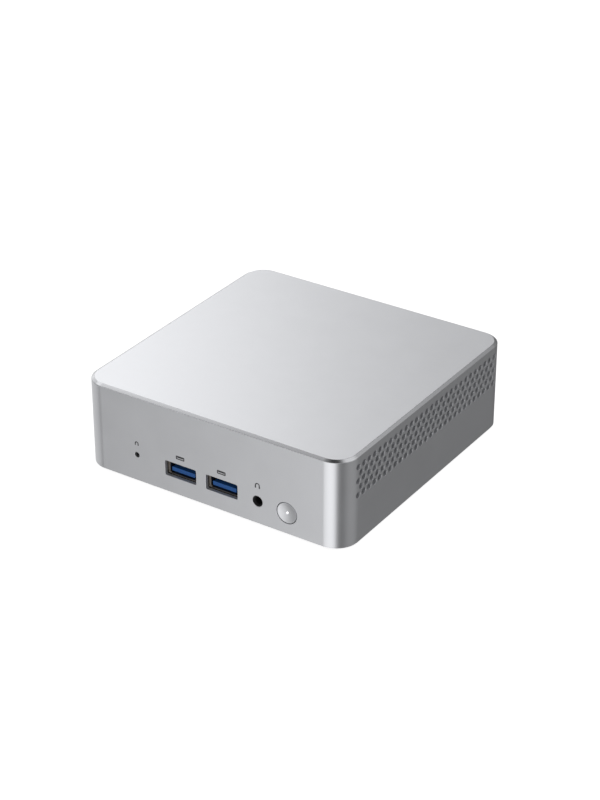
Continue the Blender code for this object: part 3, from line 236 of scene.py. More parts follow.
def new_finish(name, colours, roughness, grain, relief, patch=12.0, **sockets):
    """A finish whose colour and roughness wander a little between two values, over a fine relief.

    grain is the width of the relief's bumps, relief their height and patch the width of the wandering,
    all in millimetres.
    """
    material, tree, shader = blank_finish(name, **sockets)
    place = add_node(tree, "TexCoord", {}).outputs["Object"]
    noises = []
    for width, detail in ((patch, 4.0), (grain, 2.0)):
        noise = {"Vector": place, "Scale": 1 / (width * MM), "Detail": detail}
        noises.append(add_node(tree, "TexNoise", noise).outputs["Fac"])
    cloud, grit = noises
    both = add_node(tree, "Math", {0: cloud, 1: grit}, operation="ADD").outputs[0]
    mix = add_node(tree, "MapRange", {"Value": both, "From Min": 0.7, "From Max": 1.3}).outputs[0]
    colour = blend(tree, mix, linear(colours[0]), linear(colours[1]))
    tree.links.new(colour, shader.inputs["Base Color"])
    dull = add_node(tree, "MapRange", {"Value": mix, "To Min": roughness[0], "To Max": roughness[1]})
    tree.links.new(dull.outputs[0], shader.inputs["Roughness"])
    emboss(tree, shader, grit, relief)
    return material


SHARP_CORNER = math.radians(20)


def add_piece(name, bm, material, replaces=(), body="chassis", edge=0):
    """Closes a piece, rounds its square edges if asked, and lets it ride on a body.

    It stands for the CAD nodes that it replaces.
    """
    close_shape(bm)
    if edge:
        round_edges(bm, sharp_edges(bm), edge)
    mesh = bpy.data.meshes.new(name)
    bm.to_mesh(mesh)
    bm.free()
    mesh.materials.append(material)
    mesh.shade_smooth()
    mesh.set_sharp_from_angle(angle=SHARP_CORNER)
    piece = bpy.data.objects.new(name, mesh)
    bpy.context.scene.collection.objects.link(piece)
    normals = piece.modifiers.new("flat_faces_stay_flat", "WEIGHTED_NORMAL")
    normals.keep_sharp = True
    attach(piece, body)
    if replaces:
        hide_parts(*replaces)
    return piece


ALUMINIUM = ("#CBCCCF", "#CFD0D3")

# Anodised aluminium after bead blasting: a pale grey metal whose shine is spread wide and even by
# dimples of a few hundredths of a millimetre. They are drawn wider here, so that they show.
blasted_aluminium = new_finish(
    "bead_blasted_anodised_aluminium", ALUMINIUM, (0.33, 0.35), grain=0.22, relief=0.0035, Metallic=1.0
)
# The same metal where a diamond tool has cut it after blasting: smoother, with a clear narrow shine.
cut_aluminium = new_finish(
    "diamond_cut_aluminium", ALUMINIUM, (0.16, 0.19), grain=0.3, relief=0.0004, Metallic=1.0
)
# And where it is drilled: the beads don't reach down a bore, which stays rough and gives a dull grey.
drilled_aluminium = new_finish(
    "drilled_anodised_aluminium", ALUMINIUM, (0.66, 0.72), grain=0.25, relief=0.004, Metallic=1.0
)


def wall_place(side):
    """The plane of a wall, counted round from the front: 0 front, 1 right, 2 back and 3 left."""
    outwards = Matrix.Translation((0, -HALF * MM, 0)) @ Matrix.Rotation(math.pi / 2, 4, "X")
    return Matrix.Rotation(side * math.pi / 2, 4, "Z") @ outwards


def wall_openings(side):
    """The outlines cut through a wall, each with its middle across and up the wall."""
    openings = []
    if side == 0:
        for port in FRONT_PORTS:
            openings.append((rounded(DATA_WINDOW, DATA_WINDOW_CORNER), middle(port + "_shell").xz))
        openings.append((circle(JACK_HOLE, 40), middle("audio_jack").xz))
        openings.append((circle(BUTTON_HOLE, 72), middle("power_button_cap").xz))
        openings.append((circle(MICROPHONE_HOLE), (middle("microphone").x, MICROPHONE_AT)))
    elif side == 2:
        panel_at = (-middle("rear_io_panel").x, PANEL_HEIGHT)
        openings.append((rounded(PANEL_OPENING, PANEL_OPENING_CORNER), panel_at))
        slot_outline = rounded(EXHAUST_SLOT, ROUND_END * EXHAUST_SLOT[0])
        for slot in range(EXHAUST_SLOTS):
            x = EXHAUST_MIDDLE[0] + (slot - (EXHAUST_SLOTS - 1) / 2) * EXHAUST_PITCH
            openings.append((slot_outline, (-x, EXHAUST_MIDDLE[1])))
        openings.append((rounded(LOCK_SLOT, LOCK_SLOT_CORNER), (-LOCK_SLOT_AT[0], LOCK_SLOT_AT[1])))
    else:
        for row in range(VENT_ROWS):
            count = VENT_COLUMNS - row % 2
            up = CASE_TOP - VENT_FIRST_DROP - row * VENT_ROW_STEP
            for column in range(count):
                across = (column - (count - 1) / 2) * VENT_PITCH
                openings.append((circle(VENT_DIAMETER, 20), (across, up)))
    return openings


# How near to a height counts as at it.
NEAR = 0.01


def above(edge, height):
    """Whether an edge lies wholly above a height."""
    return min(vert.co.z for vert in edge.verts) > height * MM


def below(edge, height):
    """Whether an edge lies wholly below a height."""
    return max(vert.co.z for vert in edge.verts) < height * MM


case = bmesh.new()
wall_top = CASE_TOP - FACET_DROP
flat = HALF - CORNER_RADIUS
for side in range(4):
    plane = wall_place(side)
    reach = flat + (VENT_EDGE if side % 2 else 0)
    low_side = [(across, CASE_BOTTOM) for across in (-reach, -flat, flat, reach)]
    high_side = [(across, wall_top) for across in (reach, flat, -flat, -reach)]
    if reach == flat:
        low_side, high_side = low_side[1:3], high_side[1:3]
    outlines = add_rings(case, [on_plane((*low_side, *high_side), plane)])
    upright = outlines[0][len(low_side)]
    for points, at in wall_openings(side):
        outlines += add_rings(case, [on_plane(points, plane, at)])
    add_sheet(case, *outlines)
    for vert in {vert for loop in outlines for edge in loop for vert in edge.verts}:
        across, along, _ = plane.inverted() @ vert.co / MM
        turned = max(abs(across) - flat, 0) / CORNER_RADIUS
        if turned:
            across = math.copysign(flat + CORNER_RADIUS * math.sin(turned), across)
            vert.co = plane @ (Vector((across, along, CORNER_RADIUS * (math.cos(turned) - 1))) * MM)
    bmesh.ops.spin(
        case,
        geom=[upright, *upright.verts],
        cent=Matrix.Rotation(side * math.pi / 2, 3, "Z") @ Vector((flat, -flat, 0)) * MM,
        axis=(0, 0, 1),
        angle=math.pi / 2 - VENT_EDGE / CORNER_RADIUS,
        steps=CORNER_STEPS,
        use_merge=False,
    )
close_shape(case)
rim = [edge for edge in case.edges if edge.is_boundary and above(edge, wall_top - NEAR)]
top = bmesh.ops.contextual_create(case, geom=rim)["faces"]
bmesh.ops.inset_region(case, faces=top, thickness=FACET_RUN * MM, depth=FACET_DROP * MM, use_even_offset=True)
close_shape(case)
outside = set(case.verts)
bmesh.ops.solidify(case, geom=case.faces[:], thickness=WALL * MM)
bent = [edge for edge in sharp_edges(case, SLIGHT_BEND) if outside.issuperset(edge.verts)]
round_edges(case, [edge for edge in bent if above(edge, wall_top - NEAR)], FACET_ROUNDING, 3)
round_edges(case, [edge for edge in sharp_edges(case) if below(edge, wall_top - WALL)], RIM_ROUNDING)
for face in case.faces:
    centre = face.calc_center_median() / MM
    if centre.z > wall_top - FACET_ROUNDING and FACET_LEAN[0] < face.normal.z < FACET_LEAN[1]:
        face.material_index = 1
    elif CASE_BOTTOM + WALL < centre.z < wall_top - WALL:
        for axis in (0, 1):
            if abs(centre[axis]) > INSIDE and abs(face.normal[axis]) < BORE_LEAN:
                face.material_index = 2
case_cover = add_piece("case_cover", case, blasted_aluminium, ["top_housing"])
case_cover.data.materials.append(cut_aluminium)
case_cover.data.materials.append(drilled_aluminium)


# Vent screens
# Behind the vents of each side a strip of fine woven polyester keeps dust out. It is cut from a roll and
# glued along its edges to the inside of the wall.
SCREEN_SIZE = (110.4, 18.4)
SCREEN_CORNER = 2.0
SCREEN_HEIGHT = 30.4
SCREEN_DEPTHS = (-2.1, -1.82)
THREAD_PITCH = 0.5
THREAD_RELIEF = 0.08
# A wave node's bands turn by this many radians in each unit of its scale.
WAVE_TURN = 20


def add_skin(bm, rings, place, at=(0, 0)):
    """A tube through a row of outlines, each at its height above a plane."""
    return add_rings(bm, [on_plane(points, place, at, height) for points, height in rings])


def add_solid(bm, rings, place, at=(0, 0)):
    """A solid through a row of outlines, closed at both ends."""
    loops = add_skin(bm, rings, place, at)
    add_sheet(bm, loops[0])
    add_sheet(bm, loops[-1])


def add_block(bm, points, heights, place, at=(0, 0)):
    """A solid with a flat outline, between two heights above a plane."""
    add_solid(bm, [(points, height) for height in heights], place, at)


# Woven polyester: dark grey threads crossing at half a millimetre, drawn coarser than the real cloth so
# that they show, with darker gaps between them.
woven_screen, tree, shader = blank_finish("woven_polyester_screen", Roughness=0.7)
place = add_node(tree, "TexCoord", {}).outputs["Object"]
threads = []
for axis in ("Y", "Z"):
    bands = {"Vector": place, "Scale": 2 * math.pi / WAVE_TURN / (THREAD_PITCH * MM)}
    threads.append(add_node(tree, "TexWave", bands, bands_direction=axis).outputs["Fac"])
weave = add_node(tree, "Math", {0: threads[0], 1: threads[1]}, operation="MAXIMUM").outputs[0]
shade = blend(tree, weave, linear("#3A3A3C"), linear("#7A7A7C"))
tree.links.new(shade, shader.inputs["Base Color"])
emboss(tree, shader, weave, THREAD_RELIEF)

for side, name in ((1, "vent_screen_right"), (3, "vent_screen_left")):
    screen = bmesh.new()
    screen_outline = rounded(SCREEN_SIZE, SCREEN_CORNER)
    add_block(screen, screen_outline, SCREEN_DEPTHS, wall_place(side), (0, SCREEN_HEIGHT))
    add_piece(name, screen, woven_screen)


# Screw posts
# Solid aluminium posts stand on the inside of the top, in one piece with it: four in the corners for the
# cover's screws and four for the board's. Their ends are faced flat and tapped.
LEVEL = Matrix.Identity(4)
CORNERS = ("front_left", "front_right", "rear_left", "rear_right")
POST_ROOT = CASE_TOP - WALL
POST_BORE = 2.5
POST_BORE_DEPTH = 9.0
POST_CHAMFER = 0.3
BORE_CHAMFER = 0.4
# The name of the posts and of their screws, their diameter and the height of their ends.
POSTS = (("corner_posts", "cover_screw_", 8.2, 4.5), ("board_posts", "board_screw_", 5.2, 18.5))


def discs(*rings, steps=24):
    """Round outlines for a skin, from pairs of a diameter and a height."""
    return [(circle(diameter, steps), height) for diameter, height in rings]


for name, screw, diameter, end in POSTS:
    posts = bmesh.new()
    post_rings = discs(
        (diameter, POST_ROOT),
        (diameter, end + POST_CHAMFER),
        (diameter - 2 * POST_CHAMFER, end),
        (POST_BORE + BORE_CHAMFER, end),
        (POST_BORE, end + BORE_CHAMFER),
        (POST_BORE, end + POST_BORE_DEPTH),
        steps=32,
    )
    for corner in CORNERS:
        add_solid(posts, post_rings, LEVEL, middle(screw + corner).xy)
    add_piece(name, posts, blasted_aluminium)


# Data ports
# Each port is a tube folded from thin steel and plated with nickel, with two sprung tabs above and two
# below, round a moulded tongue that carries flat gilded contacts on its upper face. The front ports have a
# turned-out rim. All of them hang under the board on soldered legs.
DATA_SHELL = (13.3, 5.92)
DATA_SHELL_CORNER = 0.6
DATA_BORE = (12.5, 5.12)
DATA_BORE_CORNER = 0.3
DATA_MOUTH = (13.0, 5.62)
DATA_MOUTH_CORNER = 0.5
DATA_RIM = (15.8, 6.6)
DATA_RIM_CORNER = 0.8
DATA_RIM_THICKNESS = 0.4
DATA_FLARE = 0.7
DATA_DEPTH = 14.0
DATA_TONGUE = (11.5, 1.84)
DATA_TONGUE_DROP = 0.89
DATA_TONGUE_DEPTHS = (0.25, 11.0)
DATA_TONGUE_CORNER = 0.3
DATA_TONGUE_EDGE = 0.22
DATA_BLOCK = (11.9, 4.52)
DATA_BLOCK_DEPTHS = (10.5, 13.8)
DATA_TAB = (1.9, 0.3)
DATA_TAB_CORNER = 0.12
DATA_TAB_DEPTHS = (2.5, 8.5)
DATA_TAB_SPACING = 5.6
DATA_CONTACT_SPACINGS = (-3.5, -1.0, 1.0, 3.5)
DATA_CONTACT = (1.0, 0.06)
DATA_CONTACT_DEPTHS = (3.4, 9.0)
CONTACT_CORNER = 0.02
PLATED_EDGE = 0.06
PORT_BACK_WALL = 0.15

# Nickel plate over folded steel: a warm grey metal with a soft shine and faint drawing lines.
nickel_plate = new_finish(
    "nickel_plated_steel", ("#7C756D", "#8E8780"), (0.30, 0.42),
    grain=0.35, relief=0.004, patch=3.0, Metallic=1.0,
)
# Glass-filled nylon, moulded in blue: satin, with a fine flow pattern.
blue_nylon = new_finish(
    "moulded_blue_nylon", ("#1F4E8C", "#265896"), (0.40, 0.50),
    grain=0.3, relief=0.006, patch=4.0, Specular_IOR_Level=0.2,
)
# Gold flashed over nickel: yellow, with the sheen of stamped strip.
gilded_contact = new_finish(
    "gold_flashed_contact", ("#B98F45", "#CFA65C"), (0.25, 0.35),
    grain=0.3, relief=0.003, patch=2.0, Metallic=1.0,
)


def port_face(node, side):
    """A connector's middle across and up its wall, and the height of its front over the wall's face."""
    low, high = span(node)
    at = (low + high) / 2
    if side == 0:
        return (at.x, at.z), -low.y - HALF
    return (-at.x, at.z), high.y - HALF


def behind(face, depths):
    """The heights over the wall's face of a span of depths behind a connector's front."""
    return [face - depth for depth in depths]


def add_shell(bm, front, mouth, bore, flare, depth, plane, at):
    """A thin tube with a flared mouth and a closed back.

    front is the row of outlines that leads to its face, each with its height.
    """
    face = front[-1][1]
    back = face - depth
    inner = ((mouth, face), (bore, face - flare), (bore, back + PORT_BACK_WALL))
    add_solid(bm, [(front[0][0], back), *front, *inner], plane, at)


def add_data_port(name, side, rimmed):
    """A flat port in a wall: its tube, its tongue and four contacts."""
    plane = wall_place(side)
    at, face = port_face(name + "_shell", side)
    outline = rounded(DATA_SHELL, DATA_SHELL_CORNER)
    front = [(outline, face)]
    if rimmed:
        rim = rounded(DATA_RIM, DATA_RIM_CORNER)
        rim_back = face - DATA_RIM_THICKNESS
        front = [(outline, rim_back), (rim, rim_back), (rim, face)]
    mouth = rounded(DATA_MOUTH, DATA_MOUTH_CORNER)
    bore = rounded(DATA_BORE, DATA_BORE_CORNER)
    tube = bmesh.new()
    add_shell(tube, front, mouth, bore, DATA_FLARE, DATA_DEPTH, plane, at)
    close_shape(tube)
    round_edges(tube, sharp_edges(tube), PLATED_EDGE)
    tab = rounded(DATA_TAB, DATA_TAB_CORNER, 2)
    for across in (-DATA_TAB_SPACING / 2, DATA_TAB_SPACING / 2):
        for up in (-1, 1):
            tab_at = (at[0] + across, at[1] + up * (DATA_BORE[1] - DATA_TAB[1]) / 2)
            add_block(tube, tab, behind(face, DATA_TAB_DEPTHS), plane, tab_at)
    add_piece(name + "_tube", tube, nickel_plate, [name + "_shell"])

    tongue = bmesh.new()
    tongue_at = (at[0], at[1] - DATA_TONGUE_DROP)
    block = rounded(DATA_BLOCK, DATA_TONGUE_CORNER, 2)
    add_block(tongue, block, behind(face, DATA_BLOCK_DEPTHS), plane, at)
    blade = rounded(DATA_TONGUE, DATA_TONGUE_CORNER, 3)
    add_block(tongue, blade, behind(face, DATA_TONGUE_DEPTHS), plane, tongue_at)
    add_piece(name + "_blade", tongue, blue_nylon, [name + "_tongue"], edge=DATA_TONGUE_EDGE)

    contacts = bmesh.new()
    contact = rounded(DATA_CONTACT, CONTACT_CORNER, 1)
    for across in DATA_CONTACT_SPACINGS:
        contact_at = (tongue_at[0] + across, tongue_at[1] + DATA_TONGUE[1] / 2)
        add_block(contacts, contact, behind(face, DATA_CONTACT_DEPTHS), plane, contact_at)
    add_piece(name + "_contacts", contacts, gilded_contact)


for name in FRONT_PORTS:
    add_data_port(name, 0, True)
for name in ("rear_port_left", "rear_port_right"):
    add_data_port(name, 2, False)


# Headset jack and microphone
# The jack is a black moulded body whose round nose fills the hole in the wall, with a funnel that leads the
# plug into its bore. The microphone sits in a rubber boot whose nose fills the pinhole.
JACK_BODY = (6.6, 6.2)
JACK_BODY_CORNER = 0.5
JACK_DEPTH = 12.5
JACK_NOSE = 4.7
JACK_NOSE_FACE = -0.2
JACK_FUNNEL = 4.3
JACK_FUNNEL_DEPTH = 0.9
JACK_BORE = 3.6
JACK_BORE_DEPTH = 11.0
BOOT_DEPTH = 3.2
BOOT_SIZE = (4.0, 3.8)
BOOT_CORNER = 0.6
BOOT_NOSE = 2.2
BOOT_NOSE_FACE = -0.45
BOOT_INLET = 1.0
BOOT_INLET_DEPTH = 1.4

# Black ABS from a textured mould: dark and satin, with a fine even grain.
black_abs = new_finish("textured_black_abs", ("#141415", "#1C1C1E"), (0.48, 0.58), grain=0.35, relief=0.012)
# Silicone rubber: a dull black that scatters what little light it gives back.
black_rubber = new_finish(
    "black_silicone_rubber", ("#101011", "#181819"), (0.75, 0.88), grain=0.5, relief=0.01
)


def add_socket(bm, outline, depth, bore, face, plane, at, bore_at=(0, 0)):
    """A block with a hole in its front. bore is the hole's outlines, each with its depth."""
    outer = add_skin(bm, [(outline, face - depth), (outline, face)], plane, at)
    add_sheet(bm, outer[0])
    centre = (at[0] + bore_at[0], at[1] + bore_at[1])
    inner = add_skin(bm, [(points, face - deep) for points, deep in bore], plane, centre)
    add_sheet(bm, outer[1], inner[0])
    add_sheet(bm, inner[-1])


at, face = port_face("audio_jack", 0)
jack = bmesh.new()
nose = face - JACK_NOSE_FACE
funnel = discs(
    (JACK_NOSE, 0),
    (JACK_NOSE, nose),
    (JACK_FUNNEL, nose),
    (JACK_BORE, nose + JACK_FUNNEL_DEPTH),
    (JACK_BORE, JACK_BORE_DEPTH),
)
add_socket(jack, rounded(JACK_BODY, JACK_BODY_CORNER), JACK_DEPTH, funnel, face, wall_place(0), at)
add_piece("headset_socket", jack, black_abs, ["audio_jack"])

at, face = port_face("microphone", 0)
boot = bmesh.new()
nose = face - BOOT_NOSE_FACE
inlet = discs((BOOT_NOSE, 0), (BOOT_NOSE, nose), (BOOT_INLET, nose), (BOOT_INLET, BOOT_INLET_DEPTH))
boot_outline = rounded(BOOT_SIZE, BOOT_CORNER)
add_socket(boot, boot_outline, BOOT_DEPTH, inlet, face, wall_place(0), at, (0, MICROPHONE_AT - at[1]))
add_piece("microphone_boot", boot, black_rubber, ["microphone"])


# Power button
# The cap is turned from aluminium with a shallow dish and a lens of clear plastic pressed into its
# middle, lit from behind. It slides in a moulded guide and presses a small switch on the board.
BUTTON_RADIUS = 4.71
BUTTON_LIP = 0.3
BUTTON_LIP_FLAT = 0.08
BUTTON_DISH = 0.34
BUTTON_FACE = -0.1
BUTTON_SHOULDER = -0.45
BUTTON_FLANGE = (5.5, -2.0, -3.0)
BUTTON_STEM = (1.5, -5.6)
LENS_HOLE = 0.7
LENS_HOLE_DEPTH = -3.3
LENS_RADIUS = 0.45
LENS_BULGE = 0.18
LENS_ENDS = (-0.4, -3.0)
TURNED_STEPS = 96
DISH_STEPS = 8
QUARTER_TURNS = [math.radians(turn) for turn in range(0, 91, 15)]


def add_turned(bm, profile, place, at=(0, 0), steps=48):
    """Turns a profile of (radius, height) about a line that stands on a plane."""
    line = [bm.verts.new(place @ (Vector((at[0] + radius, at[1], up)) * MM)) for radius, up in profile]
    edges = [bm.edges.new(pair) for pair in zip(line, line[1:])]
    bmesh.ops.spin(
        bm,
        geom=[*line, *edges],
        cent=place @ (Vector((*at, 0)) * MM),
        axis=place.to_3x3() @ Vector((0, 0, 1)),
        angle=2 * math.pi,
        steps=steps,
        use_merge=True,
    )


def dome(radius, top, rise):
    """The profile of a dome from its top to its edge."""
    return [(radius * math.sin(turn), top - rise * (1 - math.cos(turn))) for turn in QUARTER_TURNS]


button_at = middle("power_button_cap").xz
dish_edge = BUTTON_RADIUS - BUTTON_LIP
dish = []
for step in range(DISH_STEPS + 1):
    radius = LENS_HOLE + (dish_edge - LENS_HOLE) * step / DISH_STEPS
    dish.append((radius, BUTTON_FACE - BUTTON_DISH * (1 - (radius / dish_edge) ** 2)))
cap_profile = (
    (0, LENS_HOLE_DEPTH),
    (LENS_HOLE, LENS_HOLE_DEPTH),
    *dish,
    (dish_edge + BUTTON_LIP_FLAT, BUTTON_FACE),
    (BUTTON_RADIUS, BUTTON_SHOULDER),
    (BUTTON_RADIUS, BUTTON_FLANGE[1]),
    (BUTTON_FLANGE[0], BUTTON_FLANGE[1]),
    (BUTTON_FLANGE[0], BUTTON_FLANGE[2]),
    (BUTTON_STEM[0], BUTTON_FLANGE[2]),
    BUTTON_STEM,
    (0, BUTTON_STEM[1]),
)
cap = bmesh.new()
add_turned(cap, cap_profile, wall_place(0), button_at, TURNED_STEPS)
add_piece("button_cap", cap, blasted_aluminium, ["power_button_cap"], "power_button")

# Clear acrylic with a white light behind it: a small even glow, brighter than anything round it.
lit_acrylic = new_finish(
    "lit_clear_acrylic",
    ("#F4F6FA", "#FFFFFF"),
    (0.15, 0.2),
    grain=0.2,
    relief=0.001,
    Emission_Color=linear("#FFFFFF"),
    Emission_Strength=0.9,
)
lens = bmesh.new()
lens_profile = (*dome(LENS_RADIUS, LENS_ENDS[0], LENS_BULGE), (LENS_RADIUS, LENS_ENDS[1]), (0, LENS_ENDS[1]))
add_turned(lens, lens_profile, wall_place(0), button_at)
add_piece("button_light", lens, lit_acrylic, ["power_button_lens"], "power_button")


def dress(material, *nodes):
    """Gives CAD nodes that keep their shape a finish."""
    for node in nodes:
        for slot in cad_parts[node].material_slots:
            slot.material = material


# Natural acetal: a milky grey plastic, slippery and softly shiny.
grey_acetal = new_finish(
    "natural_acetal", ("#A3A3A0", "#B0B0AD"), (0.35, 0.45), grain=0.4, relief=0.005, patch=3.0
)
dress(black_abs, "power_button_guide", "power_switch_body")
dress(grey_acetal, "power_switch_plunger")


# Printed signs
# Small plain signs in dark ink over the front openings: an arch over the pinhole, the outline of a plug's
# mouth over each port, and an arch with two ear pads over the jack.
SIGN_HEIGHT = 19.8
INK_HEIGHTS = (-0.04, 0.012)
INK_STROKE = 0.5
ARCH_RADIUS = 0.95
ARCH_LEG = 0.9
ARCH_STEPS = 12
EAR_ARCH_RADIUS = 1.15
EAR_ARCH_LEG = 0.36
EAR_PAD = (0.62, 1.1)
EAR_PAD_CORNER = 0.25
EAR_PAD_DROP = 0.75
MOUTH_SIGN = (4.2, 1.7)
MOUTH_SIGN_CORNERS = (0.35, 0.12)
MOUTH_BAR = (2.9, 0.42)
MOUTH_BAR_CORNER = 0.05
MOUTH_BAR_RISE = 0.2

# Screen ink, printed and baked: a dark grey film, nearly matt.
dark_ink = new_finish(
    "baked_screen_ink", ("#2A2A2C", "#343437"), (0.55, 0.65), grain=0.15, relief=0.002, patch=1.0
)


def arch(radius, leg):
    """Points round an upright arch, drawn with one stroke."""
    turns = [math.pi * step / ARCH_STEPS for step in range(ARCH_STEPS + 1)]
    hole = radius - INK_STROKE
    outer = [(radius * math.cos(turn), radius * math.sin(turn)) for turn in turns]
    inner = [(hole * math.cos(turn), hole * math.sin(turn)) for turn in reversed(turns)]
    return [(radius, -leg), *outer, (-radius, -leg), (-hole, -leg), *inner, (hole, -leg)]


signs = bmesh.new()
front = wall_place(0)
jack_x = middle("audio_jack").x
add_block(signs, arch(ARCH_RADIUS, ARCH_LEG), INK_HEIGHTS, front, (middle("microphone").x, SIGN_HEIGHT))
add_block(signs, arch(EAR_ARCH_RADIUS, EAR_ARCH_LEG), INK_HEIGHTS, front, (jack_x, SIGN_HEIGHT))
for hand in (-1, 1):
    pad_at = (jack_x + hand * ARCH_RADIUS, SIGN_HEIGHT - EAR_PAD_DROP)
    add_block(signs, rounded(EAR_PAD, EAR_PAD_CORNER, 3), INK_HEIGHTS, front, pad_at)
hole = [length - 2 * INK_STROKE for length in MOUTH_SIGN]
outlines = [rounded(size, corner) for size, corner in zip((MOUTH_SIGN, hole), MOUTH_SIGN_CORNERS)]
bar = rounded(MOUTH_BAR, MOUTH_BAR_CORNER, 1)
for port in FRONT_PORTS:
    sign_x = middle(port + "_shell").x
    sign_at = (sign_x, SIGN_HEIGHT)
    walls = [add_skin(signs, [(points, up) for up in INK_HEIGHTS], front, sign_at) for points in outlines]
    for loops in zip(*walls):
        add_sheet(signs, *loops)
    add_block(signs, bar, INK_HEIGHTS, front, (sign_x, SIGN_HEIGHT + MOUTH_BAR_RISE))
add_piece("front_signs", signs, dark_ink)


# Rear panel
# A moulded black plate fills the long opening in the back, with a window for each connector. A thinner
# flange behind it bears on the inside of the wall.
PANEL_FACE = -0.4
PANEL_STEP = -2.0
PANEL_BACK = -3.4
PANEL_SIZE = (100.6, 12.6)
PANEL_CORNER = 0.9
PANEL_EDGE = 0.25
FLANGE_SIZE = (103.8, 13.7)
FLANGE_RISE = 0.75
WINDOW_GAP = 0.06
# The connectors in the back, each with the corner radius of its window.
WINDOWS = (
    ("dc_jack", 0.4),
    ("oval_port_shell", 1.85),
    ("video_port_shell", 0.4),
    ("lan_jack", 0.4),
    ("rear_port_right_shell", 0.9),
    ("rear_port_left_shell", 0.9),
)


def face_size(node):
    """A connector's width and height across its wall."""
    low, high = span(node)
    return high.x - low.x, high.z - low.z


rear = wall_place(2)
panel = bmesh.new()
plate_outline = rounded(PANEL_SIZE, PANEL_CORNER)
flange_outline = [(across, along + FLANGE_RISE) for across, along in rounded(FLANGE_SIZE, PANEL_CORNER)]
panel_rings = (
    (plate_outline, PANEL_FACE),
    (plate_outline, PANEL_STEP),
    (flange_outline, PANEL_STEP),
    (flange_outline, PANEL_BACK),
)
outer = add_skin(panel, panel_rings, rear, (0, PANEL_HEIGHT))
front_loops = [outer[0]]
back_loops = [outer[-1]]
for node, corner in WINDOWS:
    at, _ = port_face(node, 2)
    width, height = face_size(node)
    outline = rounded((width + 2 * WINDOW_GAP, height + 2 * WINDOW_GAP), corner)
    window = add_skin(panel, [(outline, PANEL_FACE), (outline, PANEL_BACK)], rear, at)
    front_loops.append(window[0])
    back_loops.append(window[1])
add_sheet(panel, *front_loops)
add_sheet(panel, *back_loops)
close_shape(panel)
plate_back = (HALF + PANEL_STEP + NEAR) * MM
face_edges = [edge for edge in sharp_edges(panel) if min(vert.co.y for vert in edge.verts) > plate_back]
round_edges(panel, face_edges, PANEL_EDGE)
add_piece("connector_panel", panel, black_abs, ["rear_io_panel"])


# Rear connectors
# A power inlet with a steel pin, an oval reversible port, a video port with cut lower corners and a
# network jack in a folded steel can with eight wires and two signal lamps. All are soldered to the board.
POWER_CORNER = 0.6
POWER_BORE = 6.4
POWER_BORE_DEPTH = 10.0
POWER_FLARE = (0.5, 0.35)
POWER_DEPTH = 14.0
PIN_RADIUS = 1.2
PIN_START = 1.0
# Tongues and their feet, each as a size and its depths.
OVAL_BLADE = ((6.6, 0.7), (0.8, 6.2))
OVAL_FOOT = ((6.4, 1.9), (5.8, 7.8))
OVAL_WALL = 0.35
OVAL_DEPTH = 8.0
OVAL_ROUND = 0.485
OVAL_CONTACTS = 12
VIDEO_BLADE = ((10.0, 1.8), (1.0, 8.6))
VIDEO_FOOT = ((10.4, 3.6), (8.0, 11.3))
VIDEO_WALL = 0.5
VIDEO_DEPTH = 11.5
VIDEO_CUT = 1.5
VIDEO_CUT_TRIM = 0.2
VIDEO_EDGE = 0.12
VIDEO_RISE = 0.3
VIDEO_CONTACTS = 10
SHELL_FLARE = 0.3
TONGUE_CORNER = 0.15
TONGUE_EDGE = 0.08
CONTACT_START = 0.8
FINE_CONTACT = (0.3, 0.05)
NETWORK_DEPTH = 21.0
NETWORK_CORNER = 0.4
NETWORK_EDGE = 0.1
NETWORK_MOUTH_DEPTH = 14.0
NETWORK_MOUTH = (
    (-5.95, 4.2), (-5.95, -3.0), (-3.1, -3.0), (-3.1, -4.4),
    (3.1, -4.4), (3.1, -3.0), (5.95, -3.0), (5.95, 4.2),
)
NETWORK_WIRES = 8
NETWORK_WIRE_PITCH = 1.02
NETWORK_WIRE = 0.42
# The height and the depth of each wire along its way.
NETWORK_WIRE_ROUTE = ((3.9, 1.2), (3.7, 3.0), (2.9, 5.0), (2.0, 8.0), (1.5, 11.5), (1.4, 13.6))
LAMPS = (("network_lamp_green", "#4E8F55", "#5B9C62", -1), ("network_lamp_amber", "#B98A3A", "#C69748", 1))
LAMP_SIZE = (3.2, 1.3)
LAMP_CORNER = 0.3
LAMP_EDGE = 0.05
LAMP_AT = (5.6, -4.0)
LAMP_HEIGHTS = (-1.0, 0.06)


def add_tongue(name, node, at, face, blade, foot, contacts):
    """A tongue with its foot, and a row of fine contacts on its two faces."""
    tongue = bmesh.new()
    for size, depths in (blade, foot):
        add_block(tongue, rounded(size, TONGUE_CORNER, 2), behind(face, depths), rear, at)
    add_piece(name, tongue, black_abs, [node], edge=TONGUE_EDGE)
    strips = bmesh.new()
    size, (start, end) = blade
    depths = behind(face, (start + CONTACT_START, end))
    for index in range(contacts):
        across = (index - (contacts - 1) / 2) * (size[0] - CONTACT_START) / contacts
        for up in (-1, 1):
            strip_at = (at[0] + across, at[1] + up * size[1] / 2)
            add_block(strips, rounded(FINE_CONTACT, CONTACT_CORNER, 1), depths, rear, strip_at)
    add_piece(name + "_contacts", strips, gilded_contact)


at, face = port_face("dc_jack", 2)
inlet = bmesh.new()
bore = discs(
    (POWER_BORE + POWER_FLARE[0], 0),
    (POWER_BORE, POWER_FLARE[1]),
    (POWER_BORE, POWER_BORE_DEPTH),
    steps=48,
)
add_socket(inlet, rounded(face_size("dc_jack"), POWER_CORNER), POWER_DEPTH, bore, face, rear, at)
add_piece("power_inlet", inlet, black_abs, ["dc_jack"])
pin = bmesh.new()
pin_back = face - POWER_BORE_DEPTH
pin_profile = (*dome(PIN_RADIUS, face - PIN_START, PIN_RADIUS), (PIN_RADIUS, pin_back), (0, pin_back))
add_turned(pin, pin_profile, rear, at)
add_piece("power_pin", pin, nickel_plate)

